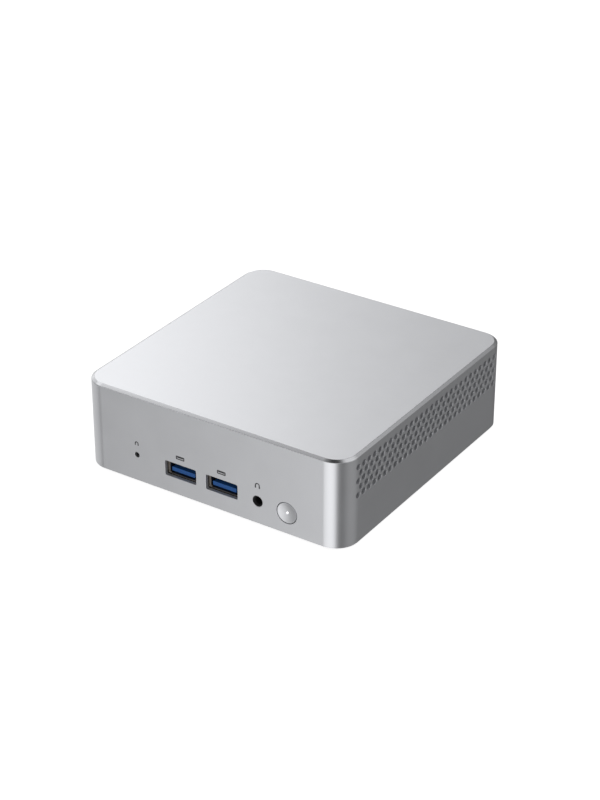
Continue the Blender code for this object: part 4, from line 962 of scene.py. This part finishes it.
at, face = port_face("oval_port_shell", 2)
width, height = face_size("oval_port_shell")
ovals = [(width - trim, height - trim) for trim in (0, 2 * OVAL_WALL, OVAL_WALL)]
outline, bore, mouth = (rounded(size, OVAL_ROUND * size[1], 8) for size in ovals)
tube = bmesh.new()
add_shell(tube, [(outline, face)], mouth, bore, SHELL_FLARE, OVAL_DEPTH, rear, at)
add_piece("oval_port_tube", tube, nickel_plate, ["oval_port_shell"], edge=PLATED_EDGE)
add_tongue("oval_port_blade", "oval_port_tongue", at, face, OVAL_BLADE, OVAL_FOOT, OVAL_CONTACTS)


def cut_corners(size, cut):
    """Points round a rectangle whose two lower corners are cut off."""
    half, tall = size[0] / 2, size[1] / 2
    upper = [(half, tall), (-half, tall)]
    return [*upper, (-half, cut - tall), (cut - half, -tall), (half - cut, -tall), (half, cut - tall)]


at, face = port_face("video_port_shell", 2)
width, height = face_size("video_port_shell")
outline, bore, mouth = (
    cut_corners((width - trim, height - trim), VIDEO_CUT - VIDEO_CUT_TRIM * trim)
    for trim in (0, 2 * VIDEO_WALL, VIDEO_WALL)
)
tube = bmesh.new()
add_shell(tube, [(outline, face)], mouth, bore, SHELL_FLARE, VIDEO_DEPTH, rear, at)
close_shape(tube)
round_edges(tube, sharp_edges(tube, SLIGHT_BEND), VIDEO_EDGE)
add_piece("video_port_tube", tube, nickel_plate, ["video_port_shell"])
raised = (at[0], at[1] + VIDEO_RISE)
add_tongue("video_port_blade", "video_port_tongue", raised, face, VIDEO_BLADE, VIDEO_FOOT, VIDEO_CONTACTS)

at, face = port_face("lan_jack", 2)
can = bmesh.new()
mouth = ((NETWORK_MOUTH, 0), (NETWORK_MOUTH, NETWORK_MOUTH_DEPTH))
add_socket(can, rounded(face_size("lan_jack"), NETWORK_CORNER), NETWORK_DEPTH, mouth, face, rear, at)
add_piece("network_can", can, nickel_plate, ["lan_jack"], edge=NETWORK_EDGE)


def add_tube(bm, path, diameter, sides=12):
    """A closed tube along points in millimetres."""
    points = [Vector(point) for point in path]
    heading = points[1] - points[0]
    turn = heading.to_track_quat("Z", "Y")
    rings = []
    for index, point in enumerate(points):
        ahead = points[min(index + 1, len(points) - 1)] - points[max(index - 1, 0)]
        turn = heading.rotation_difference(ahead) @ turn
        heading = ahead
        across = Matrix.Translation(point * MM) @ turn.to_matrix().to_4x4()
        rings.append(on_plane(circle(diameter, sides), across))
    loops = add_rings(bm, rings)
    add_sheet(bm, loops[0])
    add_sheet(bm, loops[-1])


wires = bmesh.new()
for index in range(NETWORK_WIRES):
    across = at[0] + (index - (NETWORK_WIRES - 1) / 2) * NETWORK_WIRE_PITCH
    route = [Vector((across, at[1] + up, face - depth)) * MM for up, depth in NETWORK_WIRE_ROUTE]
    add_tube(wires, [rear @ point / MM for point in route], NETWORK_WIRE, 8)
add_piece("network_wires", wires, gilded_contact)

# Tinted polycarbonate: small milky windows, one green and one amber, unlit.
for name, dark, pale, hand in LAMPS:
    tinted = new_finish(
        name + "_polycarbonate", (dark, pale), (0.2, 0.3), grain=0.3, relief=0.002, patch=1.5
    )
    lamp = bmesh.new()
    lamp_at = (at[0] + hand * LAMP_AT[0], at[1] + LAMP_AT[1])
    add_block(lamp, rounded(LAMP_SIZE, LAMP_CORNER, 3), [face + up for up in LAMP_HEIGHTS], rear, lamp_at)
    add_piece(name, lamp, tinted, edge=LAMP_EDGE)


# Mainboard
# A board of glass-fibre epoxy with copper tracks under green lacquer, screwed up against its posts.
# Chips are soldered to both of its faces, and coils and capacitors to the upper one.
BOARD_THICKNESS = 1.6
BOARD_TOP = span("mainboard")[1].z
BOARD_UNDER = BOARD_TOP - BOARD_THICKNESS
TRACK_BUNDLE = 9.0
TRACK_PITCH = 0.9
TRACK_SHARE = 0.6
TRACK_RELIEF = 0.03
DOT_PITCH = 2.6
DOT_RADIUS = 0.28
SOLDER = "#B4B6AE"
# Chips as their place, width, depth and thickness.
TOP_CHIPS = (
    (22, -42, 12, 9, 1.0), (30, -4, 14, 14, 1.2), (14, 27, 10, 8, 1.0), (-24, 46, 9, 9, 1.0),
    (-12, -50, 6, 5, 1.0), (-33, -46, 5, 4, 0.9), (34, 30, 7, 7, 0.9),
)
UNDER_CHIPS = ((-30, 33, 10, 10, 1.0), (-12, 33, 12, 8, 1.0), (6, 33, 6, 6, 0.9), (20, 34, 5, 4, 0.9))
COIL_SIZE = (7.0, 7.0)
COIL_CORNER = 0.6
COIL_EDGE = 0.3
COIL_THICKNESS = 4.0
COIL_PLACES = [(-4, -32 + 10 * step) for step in range(5)]
CAPACITOR_RADIUS = 3.1
# The side of a capacitor from its lid to the board, as steps in from its radius and heights.
CAPACITOR_SIDE = ((0.4, 6.0), (0, 5.6), (0, 1.6), (0.3, 1.2), (0, 0.8), (0, 0))
CAPACITOR_PLACES = [(5, -34 + 9 * step) for step in range(6)]
RESISTOR_SIZE = (1.2, 0.6)
RESISTOR_THICKNESS = 0.45
RESISTOR_COUNT = 16
RESISTOR_PITCH = 2.1
TOP_RESISTOR_ROWS = ((-47, -32), (-47, 15), (10, 14), (-47, 18))
UNDER_RESISTOR_ROWS = ((-42, 27), (-8, 27), (-42, 39.5))


def new_board(name, mask, track):
    """Lacquer over copper: satin, with tracks as paler lines in bundles and bright soldered dots."""
    material, tree, shader = blank_finish(name, Roughness=0.42)
    place = add_node(tree, "TexCoord", {}).outputs["Object"]
    cells = {"Vector": place, "Scale": 1 / (TRACK_BUNDLE * MM)}
    bundle = add_node(tree, "TexVoronoi", cells, distance="MANHATTAN").outputs["Distance"]
    per_bundle = TRACK_BUNDLE / TRACK_PITCH
    steps = add_node(tree, "Math", {0: bundle, 1: per_bundle}, operation="MULTIPLY").outputs[0]
    saw = add_node(tree, "Math", {0: steps}, operation="FRACT").outputs[0]
    line = add_node(tree, "Math", {0: saw, 1: TRACK_SHARE}, operation="GREATER_THAN").outputs[0]
    spots = {"Vector": place, "Scale": 1 / (DOT_PITCH * MM)}
    spread = add_node(tree, "TexVoronoi", spots).outputs["Distance"]
    dot = add_node(tree, "Math", {0: spread, 1: DOT_RADIUS / DOT_PITCH}, operation="LESS_THAN").outputs[0]
    lacquer = blend(tree, line, linear(mask), linear(track))
    tree.links.new(blend(tree, dot, lacquer, linear(SOLDER)), shader.inputs["Base Color"])
    raised = add_node(tree, "Math", {0: line, 1: dot}, operation="MAXIMUM").outputs[0]
    emboss(tree, shader, raised, TRACK_RELIEF)
    return material


def add_slab(bm, size, heights, at, corner=0.15):
    """A flat block with slightly rounded corners, level between two heights."""
    add_block(bm, rounded(size, corner, 2), heights, LEVEL, at)


green_board = new_board("green_lacquered_epoxy_board", "#0F3D27", "#1B5738")
dress(green_board, "mainboard")

# Moulded epoxy: a flat black with a fine sandy grain.
chip_epoxy = new_finish(
    "moulded_chip_epoxy", ("#1A1B1D", "#232426"), (0.5, 0.62), grain=0.2, relief=0.008, patch=3.0
)
# Pressed ferrite: a dark grey ceramic, dull and slightly rough.
grey_ferrite = new_finish(
    "pressed_grey_ferrite", ("#4A4B4D", "#57585A"), (0.6, 0.72), grain=0.25, relief=0.012, patch=2.0
)
# Zinc plate: a bright grey metal with a slightly blue, patchy shine.
zinc_plate = new_finish(
    "zinc_plated_steel", ("#9FA2A6", "#B4B7BB"), (0.24, 0.38),
    grain=0.3, relief=0.004, patch=2.0, Metallic=1.0,
)

chips = bmesh.new()
for x, y, width, depth, thick in TOP_CHIPS:
    add_slab(chips, (width, depth), (BOARD_TOP, BOARD_TOP + thick), (x, y))
for x, y, width, depth, thick in UNDER_CHIPS:
    add_slab(chips, (width, depth), (BOARD_UNDER - thick, BOARD_UNDER), (x, y))
for rows, low in ((TOP_RESISTOR_ROWS, BOARD_TOP), (UNDER_RESISTOR_ROWS, BOARD_UNDER - RESISTOR_THICKNESS)):
    for x, y in rows:
        for step in range(RESISTOR_COUNT):
            spot = (x + step * RESISTOR_PITCH, y)
            add_slab(chips, RESISTOR_SIZE, (low, low + RESISTOR_THICKNESS), spot)
add_piece("board_chips", chips, chip_epoxy)

coils = bmesh.new()
for spot in COIL_PLACES:
    add_slab(coils, COIL_SIZE, (BOARD_TOP, BOARD_TOP + COIL_THICKNESS), spot, COIL_CORNER)
add_piece("board_coils", coils, grey_ferrite, edge=COIL_EDGE)

capacitors = bmesh.new()
side_profile = [(CAPACITOR_RADIUS - step, BOARD_TOP + up) for step, up in CAPACITOR_SIDE]
can_profile = ((0, side_profile[0][1]), *side_profile, (0, BOARD_TOP))
for spot in CAPACITOR_PLACES:
    add_turned(capacitors, can_profile, LEVEL, spot, 24)
add_piece("board_capacitors", capacitors, zinc_plate)


# Processor and cooler
# The processor is a bare silicon die on a green substrate. A copper plate lies on it, and a heat pipe
# soldered to the plate bends round to a stack of thin aluminium fins in front of the exhaust slots.
DIE_SIZE = (15.0, 10.5)
DIE_CORNER = 0.15
SUBSTRATE_THICKNESS = 0.9
SUBSTRATE_CORNER = 0.5
PLATE_CORNER = 2.0
PLATE_EDGE = 0.3
PIPE_DIAMETER = 4.76
PIPE_BEND = 18.0
PIPE_EDGE = 0.6
BEND_STEPS = 16

# Polished silicon: a dark grey mirror with a slight blue cast.
polished_silicon = new_finish(
    "polished_silicon", ("#3C424B", "#454B55"), (0.12, 0.18),
    grain=0.4, relief=0.0005, patch=5.0, Metallic=0.6,
)
# Bare copper, lightly tarnished: a warm metal that wanders from pink to brown.
bare_copper = new_finish(
    "lightly_tarnished_copper", ("#A9653F", "#C98A63"), (0.26, 0.4),
    grain=0.3, relief=0.004, patch=8.0, Metallic=1.0,
)


def plan(node):
    """The width and depth of a CAD node's box."""
    low, high = span(node)
    return high.x - low.x, high.y - low.y


def add_level(name, outline, heights, at, material, replaces=(), edge=0):
    """A level piece with a flat outline."""
    bm = bmesh.new()
    add_block(bm, outline, heights, LEVEL, at)
    add_piece(name, bm, material, replaces, edge=edge)


low, high = span("processor")
chip_at = middle("processor").xy
die_low = low.z + SUBSTRATE_THICKNESS
substrate = rounded(plan("processor"), SUBSTRATE_CORNER, 2)
add_level(
    "processor_substrate", substrate, (low.z, die_low), chip_at, green_board, ["processor"]
)
die = rounded(DIE_SIZE, DIE_CORNER, 2)
add_level("processor_die", die, (die_low, high.z), chip_at, polished_silicon)

low, high = span("cold_plate")
plate = rounded(plan("cold_plate"), PLATE_CORNER)
add_level("copper_plate", plate, (low.z, high.z), chip_at, bare_copper, ["cold_plate"], PLATE_EDGE)

low, high = span("heat_pipe")
pipe_z = middle("heat_pipe").z
run_x = low.x + PIPE_DIAMETER / 2
run_y = high.y - PIPE_DIAMETER / 2
bend = []
for step in range(BEND_STEPS + 1):
    turn = math.pi - math.pi / 2 * step / BEND_STEPS
    bend_x = run_x + PIPE_BEND * (1 + math.cos(turn))
    bend_y = run_y + PIPE_BEND * (math.sin(turn) - 1)
    bend.append((bend_x, bend_y, pipe_z))
pipe = bmesh.new()
add_tube(pipe, ((run_x, low.y, pipe_z), *bend, (high.x, run_y, pipe_z)), PIPE_DIAMETER, 32)
add_piece("bent_heat_pipe", pipe, bare_copper, ["heat_pipe"], edge=PIPE_EDGE)
dress(blasted_aluminium, "fin_stack")


# Blower
# A moulded frame with a thin inlet plate under it. The rotor turns on a brass bearing inside a ring of
# copper coils, and throws air out through the fins.
HUB_RADIUS = 10.0
HUB_BORE = 8.6
HUB_FLOOR = 1.6
HUB_EDGE = 0.6
SHAFT_RADIUS = 1.5
SHAFT_DROP = 0.6
BLADES = 21
BLADE_ROOT = 9.6
BLADE_THICKNESS = 0.8
BLADE_TAPER = 0.35
BLADE_SWEEP = math.radians(26)
BLADE_CURL = 1.3
BLADE_STEPS = 6
BLADE_INSETS = (0.2, 0.3)

low, high = span("fan_rotor")
hub_at = middle("fan_bearing").xy
blade_tip = middle("fan_rotor").x - low.x
rotor = bmesh.new()
hub_profile = (
    (0, high.z - SHAFT_DROP),
    (SHAFT_RADIUS, high.z - SHAFT_DROP),
    (SHAFT_RADIUS, low.z + HUB_FLOOR),
    (HUB_BORE, low.z + HUB_FLOOR),
    (HUB_BORE, high.z),
    (HUB_RADIUS, high.z),
    (HUB_RADIUS, low.z + HUB_EDGE),
    (HUB_RADIUS - HUB_EDGE, low.z),
    (0, low.z),
)
add_turned(rotor, hub_profile, LEVEL, hub_at, TURNED_STEPS)
sides = ([], [])
for step in range(BLADE_STEPS + 1):
    share = step / BLADE_STEPS
    spine = BLADE_ROOT + (blade_tip - BLADE_ROOT) * share
    turn = BLADE_SWEEP * share ** BLADE_CURL
    half = BLADE_THICKNESS / 2 / spine * (1 - BLADE_TAPER * share)
    for hand, points in zip((-1, 1), sides):
        points.append((spine * math.cos(turn + hand * half), spine * math.sin(turn + hand * half)))
blade_outline = (*sides[0], *reversed(sides[1]))
blade_span = (low.z + BLADE_INSETS[0], high.z - BLADE_INSETS[1])
for blade in range(BLADES):
    turn = Matrix.Rotation(2 * math.pi * blade / BLADES, 4, "Z")
    add_block(rotor, blade_outline, blade_span, Matrix.Translation((*(hub_at * MM), 0)) @ turn)
add_piece("blower_wheel", rotor, black_abs, ["fan_rotor"], "fan_wheel")

# Leaded brass, machined: yellow, with faint turning marks.
machined_brass = new_finish(
    "machined_brass", ("#A9874A", "#BE9C5E"), (0.25, 0.35),
    grain=0.25, relief=0.003, patch=2.0, Metallic=1.0,
)
dress(black_abs, "fan_frame", "fan_inlet_plate")
dress(machined_brass, "fan_bearing")
dress(bare_copper, "fan_coils")


# Memory
# A green module with four black chips lies flat in an edge socket under the board. A bent spring arm holds
# it at each end, and is pushed outwards to let it go.
MEMORY_BOARD = 1.2
MEMORY_CHIP = (10.0, 12.0)
MEMORY_CHIPS = 4
MEMORY_CHIP_PITCH = 15.0
MEMORY_CHIP_SHIFT = 2.0
SIDE_NOTCH = 1.6
SIDE_NOTCH_AT = 9.2
NOTCH_STEPS = 12


def notch(edge, radius, at=0):
    """Points down a half-round notch in the right-hand edge of an outline."""
    turns = [math.pi * (step / NOTCH_STEPS - 0.5) for step in range(NOTCH_STEPS + 1)]
    return [(edge - radius * math.cos(turn), at + radius * math.sin(turn)) for turn in turns]


low, high = span("memory_module")
module_at = middle("memory_module").xy
half, deep = (length / 2 for length in plan("memory_module"))
right = notch(half, SIDE_NOTCH, SIDE_NOTCH_AT)
left = [(-across, along) for across, along in reversed(right)]
outline = [(half, -deep), *right, (half, deep), (-half, deep), *left, (-half, -deep)]
module_low = high.z - MEMORY_BOARD
add_level(
    "memory_board", outline, (module_low, high.z), module_at, green_board, ["memory_module"]
)
chips = bmesh.new()
for index in range(MEMORY_CHIPS):
    x = module_at.x + (index - (MEMORY_CHIPS - 1) / 2) * MEMORY_CHIP_PITCH
    add_slab(chips, MEMORY_CHIP, (low.z, module_low), (x, module_at.y + MEMORY_CHIP_SHIFT))
add_piece("memory_chips", chips, chip_epoxy)
dress(black_abs, "memory_socket")
dress(nickel_plate, "memory_latch_left", "memory_latch_right")


# Drive
# A long black card with a controller and two flash chips, held in a socket at one end and by a screw in
# a half-round notch at the other.
CARD_BOARD = 0.8
DRIVE_NOTCH = 1.75
DRIVE_CHIPS = ((16.0, 12.0), (35.0, 14.0), (53.0, 14.0))
DRIVE_CHIP_WIDTH = 16.0

black_board = new_board("black_lacquered_epoxy_board", "#0E0F11", "#191B1E")
low, high = span("ssd_module")
card_at = middle("ssd_module").xy
card_low = high.z - CARD_BOARD
half, deep = (length / 2 for length in plan("ssd_module"))
outline = [(half, -deep), *notch(half, DRIVE_NOTCH), (half, deep), (-half, deep), (-half, -deep)]
add_level("drive_card", outline, (card_low, high.z), card_at, black_board, ["ssd_module"])
chips = bmesh.new()
for start, length in DRIVE_CHIPS:
    add_slab(chips, (length, DRIVE_CHIP_WIDTH), (low.z, card_low), (low.x + start, card_at.y))
add_piece("drive_chips", chips, chip_epoxy)
dress(black_abs, "ssd_socket")


# Wireless card and antennas
# A small black card under a steel can, with two gilded plugs. A thin black lead runs from each plug to a
# flat copper antenna on the bottom cover.
CARD_CORNER = 0.4
CAN_SIZE = (18.0, 16.0)
CAN_CORNER = 0.6
CAN_EDGE = 0.2
CAN_SHIFT = -1.0
PLUG_SPACING = 11.0
PLUG_INSET = 2.8
PLUG_DIAMETERS = (1.4, 2.6)
PLUG_THICKNESS = 0.3

low, high = span("wireless_card")
card_at = middle("wireless_card").xy
card_low = high.z - CARD_BOARD
card = rounded(plan("wireless_card"), CARD_CORNER, 2)
add_level("radio_card", card, (card_low, high.z), card_at, black_board, ["wireless_card"])
can = rounded(CAN_SIZE, CAN_CORNER, 2)
can_at = (card_at.x, card_at.y + CAN_SHIFT)
add_level("radio_can", can, (low.z, card_low), can_at, nickel_plate, edge=CAN_EDGE)
plugs = bmesh.new()
plug_end = card_low - PLUG_THICKNESS
hole, rim = PLUG_DIAMETERS
for hand in (-1, 1):
    spot = (card_at.x + hand * PLUG_SPACING / 2, high.y - PLUG_INSET)
    plug_rings = discs((rim, card_low), (rim, plug_end), (hole, plug_end), (hole, card_low), (rim, card_low))
    add_skin(plugs, plug_rings, LEVEL, spot)
add_piece("radio_plugs", plugs, gilded_contact)
dress(black_abs, "wireless_socket", "antenna_lead_left", "antenna_lead_right")
dress(bare_copper, "antenna_left", "antenna_right")


# Coin cell
# The clock's battery: a can pressed from plated steel and crimped over its lid. It is stuck under the
# board with its lid down.
CELL_EDGE = 0.4
CELL_LID = 8.8
CELL_LID_DROP = 0.2

low, high = span("coin_cell")
radius = (high.x - low.x) / 2
cell = bmesh.new()
cell_profile = (
    (0, high.z),
    (radius - CELL_EDGE, high.z),
    (radius, high.z - CELL_EDGE),
    (radius, low.z + CELL_LID_DROP + CELL_EDGE),
    (radius - CELL_EDGE, low.z + CELL_LID_DROP),
    (CELL_LID, low.z + CELL_LID_DROP),
    (CELL_LID - CELL_LID_DROP, low.z),
    (0, low.z),
)
add_turned(cell, cell_profile, LEVEL, middle("coin_cell").xy, 64)
add_piece("clock_battery", cell, zinc_plate, ["coin_cell"])


# Bottom cover
# A moulded black plate closes the case from below. It has two rows of intake slots, four pads with threaded
# holes for a wall bracket, pockets for the feet and recesses for its own four screws.
COVER_BOTTOM = CASE_BOTTOM
COVER_TOP = 4.2
COVER_WIDTH = 124.0
COVER_CORNER = 7.9
COVER_EDGE = 0.3
FOOT_POCKET = (14.6, 0.8)
RECESS = (5.0, 1.2)
RECESS_HOLE = 3.0
PAD_DIAMETER = 8.8
PAD_BOTTOM = 1.8
PAD_HOLE = 3.4
PAD_FLARE = (0.5, 0.4)
PAD_HOLE_TOP = 7.8
PAD_PLACE = 37.5
BOSS_TOP = 8.6
INTAKE_SLOT = (2.2, 26.0)
INTAKE_SLOTS = 11
INTAKE_PITCH = 5.0
INTAKE_ROW = 19.0

base = bmesh.new()
under_loops = []
upper_loops = []


def open_through(points, at=(0, 0)):
    """An outline that runs through the cover from face to face."""
    walls = add_skin(base, [(points, COVER_BOTTOM), (points, COVER_TOP)], LEVEL, at)
    under_loops.append(walls[0])
    upper_loops.append(walls[1])


open_through(rounded((COVER_WIDTH, COVER_WIDTH), COVER_CORNER, 16))
for corner in CORNERS:
    foot_at = middle("foot_" + corner).xy
    pocket_end = COVER_BOTTOM + FOOT_POCKET[1]
    pocket = discs((FOOT_POCKET[0], COVER_BOTTOM), (FOOT_POCKET[0], pocket_end), steps=48)
    walls = add_skin(base, pocket, LEVEL, foot_at)
    under_loops.append(walls[0])
    add_sheet(base, walls[1])

    recess_end = COVER_BOTTOM + RECESS[1]
    recess_rings = discs(
        (RECESS[0], COVER_BOTTOM),
        (RECESS[0], recess_end),
        (RECESS_HOLE, recess_end),
        (RECESS_HOLE, COVER_TOP),
        steps=32,
    )
    walls = add_skin(base, recess_rings, LEVEL, middle("cover_screw_" + corner).xy)
    under_loops.append(walls[0])
    upper_loops.append(walls[-1])

    pad_at = [math.copysign(PAD_PLACE, value) for value in foot_at]
    pad_rings = discs(
        (PAD_DIAMETER, COVER_BOTTOM),
        (PAD_DIAMETER, PAD_BOTTOM),
        (PAD_HOLE + PAD_FLARE[0], PAD_BOTTOM),
        (PAD_HOLE, PAD_BOTTOM + PAD_FLARE[1]),
        (PAD_HOLE, PAD_HOLE_TOP),
        steps=32,
    )
    walls = add_skin(base, pad_rings, LEVEL, pad_at)
    under_loops.append(walls[0])
    add_sheet(base, walls[-1])
    boss_rings = discs((PAD_DIAMETER, COVER_TOP), (PAD_DIAMETER, BOSS_TOP), steps=32)
    boss = add_skin(base, boss_rings, LEVEL, pad_at)
    upper_loops.append(boss[0])
    add_sheet(base, boss[1])
slot_outline = rounded(INTAKE_SLOT, ROUND_END * INTAKE_SLOT[0])
for row in (-INTAKE_ROW, INTAKE_ROW):
    for slot in range(INTAKE_SLOTS):
        open_through(slot_outline, ((slot - (INTAKE_SLOTS - 1) / 2) * INTAKE_PITCH, row))
add_sheet(base, *under_loops)
add_sheet(base, *upper_loops)
close_shape(base)
lower_edges = [edge for edge in sharp_edges(base) if edge.is_convex and below(edge, COVER_BOTTOM + NEAR)]
round_edges(base, lower_edges, COVER_EDGE)
add_piece("base_plate", base, black_abs, ["bottom_cover"])


# Screws
# Pan-head machine screws of zinc-plated steel with a cross recess, driven upwards: four hold the cover,
# four the board and one the drive.
CROSS_ARM = 0.58
CROSS_HALF_WIDTH = 0.14
CROSS_DEPTH = 0.55
CROSS_TAPER = 0.42
HEAD_CHAMFER = 0.25
SHANK_DIAMETER = 2.2
SHANK_TIP = (1.6, 0.4)
COVER_HEAD = 0.8
BOARD_HEAD = 1.4
DRIVE_HEAD = 1.0


def cross(radius):
    """Points round a cross recess for a screw head of this radius."""
    arm, half = CROSS_ARM * radius, CROSS_HALF_WIDTH * radius
    quarter = [Vector((half, half)), Vector((half, arm)), Vector((-half, arm))]
    return [tuple(Matrix.Rotation(turn * math.pi / 2, 2) @ point) for turn in range(4) for point in quarter]


def add_screw(name, node, head_thickness):
    """A screw with its head down, in the place of a CAD node."""
    low, high = span(node)
    at = middle(node).xy
    head = high.x - low.x
    neck = low.z + head_thickness
    rings = discs(
        (head - 2 * HEAD_CHAMFER, low.z),
        (head, low.z + HEAD_CHAMFER),
        (head, neck),
        (SHANK_DIAMETER, neck),
        (SHANK_DIAMETER, high.z - SHANK_TIP[1]),
        (SHANK_TIP[0], high.z),
        steps=40,
    )
    screw = bmesh.new()
    shank = add_skin(screw, rings, LEVEL, at)
    add_sheet(screw, shank[-1])
    recess_rings = ((cross(head / 2), low.z), (cross(CROSS_TAPER * head), low.z + CROSS_DEPTH))
    recess = add_skin(screw, recess_rings, LEVEL, at)
    add_sheet(screw, shank[0], recess[0])
    add_sheet(screw, recess[1])
    add_piece(name, screw, zinc_plate, [node])


for corner in CORNERS:
    add_screw("base_screw_" + corner, "cover_screw_" + corner, COVER_HEAD)
    add_screw("mainboard_screw_" + corner, "board_screw_" + corner, BOARD_HEAD)
add_screw("drive_screw", "ssd_screw", DRIVE_HEAD)


# Feet
# Round feet of silicone rubber, moulded with a shallow ring in the sole that helps them grip the table.
# Each is glued into its pocket in the bottom cover.
SOLE_EDGE = 0.6
SOLE_RING = (4.3, 5.1)
SOLE_RING_DEPTH = 0.3
SOLE_RING_SLOPE = 0.15
FOOT_TOP_EDGE = 0.2

for corner in CORNERS:
    low, high = span("foot_" + corner)
    radius = (high.x - low.x) / 2
    sole = []
    for turn in QUARTER_TURNS:
        sole.append((radius - SOLE_EDGE * (1 - math.cos(turn)), SOLE_EDGE * (1 - math.sin(turn))))
    foot_profile = (
        (0, high.z),
        (radius - FOOT_TOP_EDGE, high.z),
        (radius, high.z - FOOT_TOP_EDGE),
        *sole,
        (SOLE_RING[1], 0),
        (SOLE_RING[1] - SOLE_RING_SLOPE, SOLE_RING_DEPTH),
        (SOLE_RING[0] + SOLE_RING_SLOPE, SOLE_RING_DEPTH),
        (SOLE_RING[0], 0),
        (0, 0),
    )
    foot = bmesh.new()
    add_turned(foot, foot_profile, LEVEL, middle("foot_" + corner).xy, 64)
    add_piece("rubber_foot_" + corner, foot, black_rubber, ["foot_" + corner])


# Floor, light and camera
# A white sheet that glows faintly, so that the case casts hardly any shadow, soft light from panels all
# round, and a long lens from the front right, above the case.
FLOOR_SIZE = 60.0
CAMERA_AZIMUTH = math.radians(33.357)
CAMERA_ELEVATION = math.radians(29.337)
CAMERA_DISTANCE = 923.17
CAMERA_AIM = (-3.616, 7.450, 16.809)
CAMERA_LENS = 97.44

floor_shape = bmesh.new()
bmesh.ops.create_grid(floor_shape, x_segments=1, y_segments=1, size=FLOOR_SIZE / 2)
floor_mesh = bpy.data.meshes.new("floor")
floor_shape.to_mesh(floor_mesh)
floor_shape.free()
floor = bpy.data.objects.new("floor", floor_mesh)
bpy.context.scene.collection.objects.link(floor)
floor.visible_glossy = False
floor.visible_shadow = False

# White paper, matt and lit from within. From below it is clear, so that the bottom can be seen.
white_paper, tree, shader = blank_finish(
    "white_paper",
    Base_Color=linear("#A8A8A8"),
    Roughness=0.9,
    Specular_IOR_Level=0.0,
    Emission_Color=linear("#FFFFFF"),
    Emission_Strength=0.92,
)
underside = add_node(tree, "NewGeometry", {}).outputs["Backfacing"]
clear = add_node(tree, "BsdfTransparent", {}).outputs[0]
one_sided = add_node(tree, "MixShader", {0: underside, 1: shader.outputs[0], 2: clear})
tree.links.new(one_sided.outputs[0], tree.nodes["Material Output"].inputs["Surface"])
floor_mesh.materials.append(white_paper)

# Each panel of light has a direction, the angles at which it starts to fade and ends, and a brightness.
# The last one is a dark patch in the ceiling.
PANELS = (
    ((132, 30), (4, 10), 1.55),
    ((140, 29), (28, 36), 0.41),
    ((150, 31), (17, 25), 0.29),
    ((180, 50), (6, 14), 0.80),
    ((176, 55), (8, 20), 0.22),
    ((-150, 20), (10, 60), 0.14),
    ((180, -25), (8, 38), 0.56),
    ((-146, -28), (4, 12), 0.20),
    ((-91, -30), (22, 34), 1.14),
    ((-80, -23), (8, 21), 0.22),
    ((56, 59), (10, 30), 0.55),
    ((50, 62), (8, 20), 0.09),
    ((60, 55), (20, 60), 0.10),
    ((15, -20), (10, 45), 0.20),
    ((140, -6), (12, 40), 0.42),
    ((-75, 22), (15, 45), 0.50),
    ((5, 22), (15, 45), 0.40),
    ((-120, 12), (6, 30), 0.40),
    ((0, 90), (8, 20), -0.20),
)
DIM_ROOM = 0.20

world = bpy.data.worlds.new("studio")
bpy.context.scene.world = world
world.use_nodes = True
tree = world.node_tree
aim = add_node(tree, "TexCoord", {}).outputs["Generated"]
level = DIM_ROOM
for (around, up), (full, none), strength in PANELS:
    around, up = math.radians(around), math.radians(up)
    towards = (math.cos(around) * math.cos(up), math.sin(around) * math.cos(up), math.sin(up))
    nearness = add_node(tree, "VectorMath", {0: aim, 1: towards}, operation="DOT_PRODUCT").outputs["Value"]
    fade = {
        "Value": nearness,
        "From Min": math.cos(math.radians(none)),
        "From Max": math.cos(math.radians(full)),
        "To Max": strength,
    }
    glow = add_node(tree, "MapRange", fade, interpolation_type="SMOOTHSTEP").outputs[0]
    level = add_node(tree, "Math", {0: glow, 1: level}, operation="ADD").outputs[0]
tree.links.new(level, tree.nodes["Background"].inputs["Strength"])
tree.nodes["Background"].inputs["Color"].default_value = (1.0, 1.0, 1.0, 1.0)

bpy.context.scene.view_settings.view_transform = "Standard"

camera_data = bpy.data.cameras.new("camera")
camera_data.lens = CAMERA_LENS
camera = bpy.data.objects.new("camera", camera_data)
bpy.context.scene.collection.objects.link(camera)
back = Vector((
    math.sin(CAMERA_AZIMUTH) * math.cos(CAMERA_ELEVATION),
    -math.cos(CAMERA_AZIMUTH) * math.cos(CAMERA_ELEVATION),
    math.sin(CAMERA_ELEVATION),
))
camera.location = (Vector(CAMERA_AIM) + back * CAMERA_DISTANCE) * MM
camera.rotation_euler = back.to_track_quat("Z", "Y").to_euler()
bpy.context.scene.camera = camera
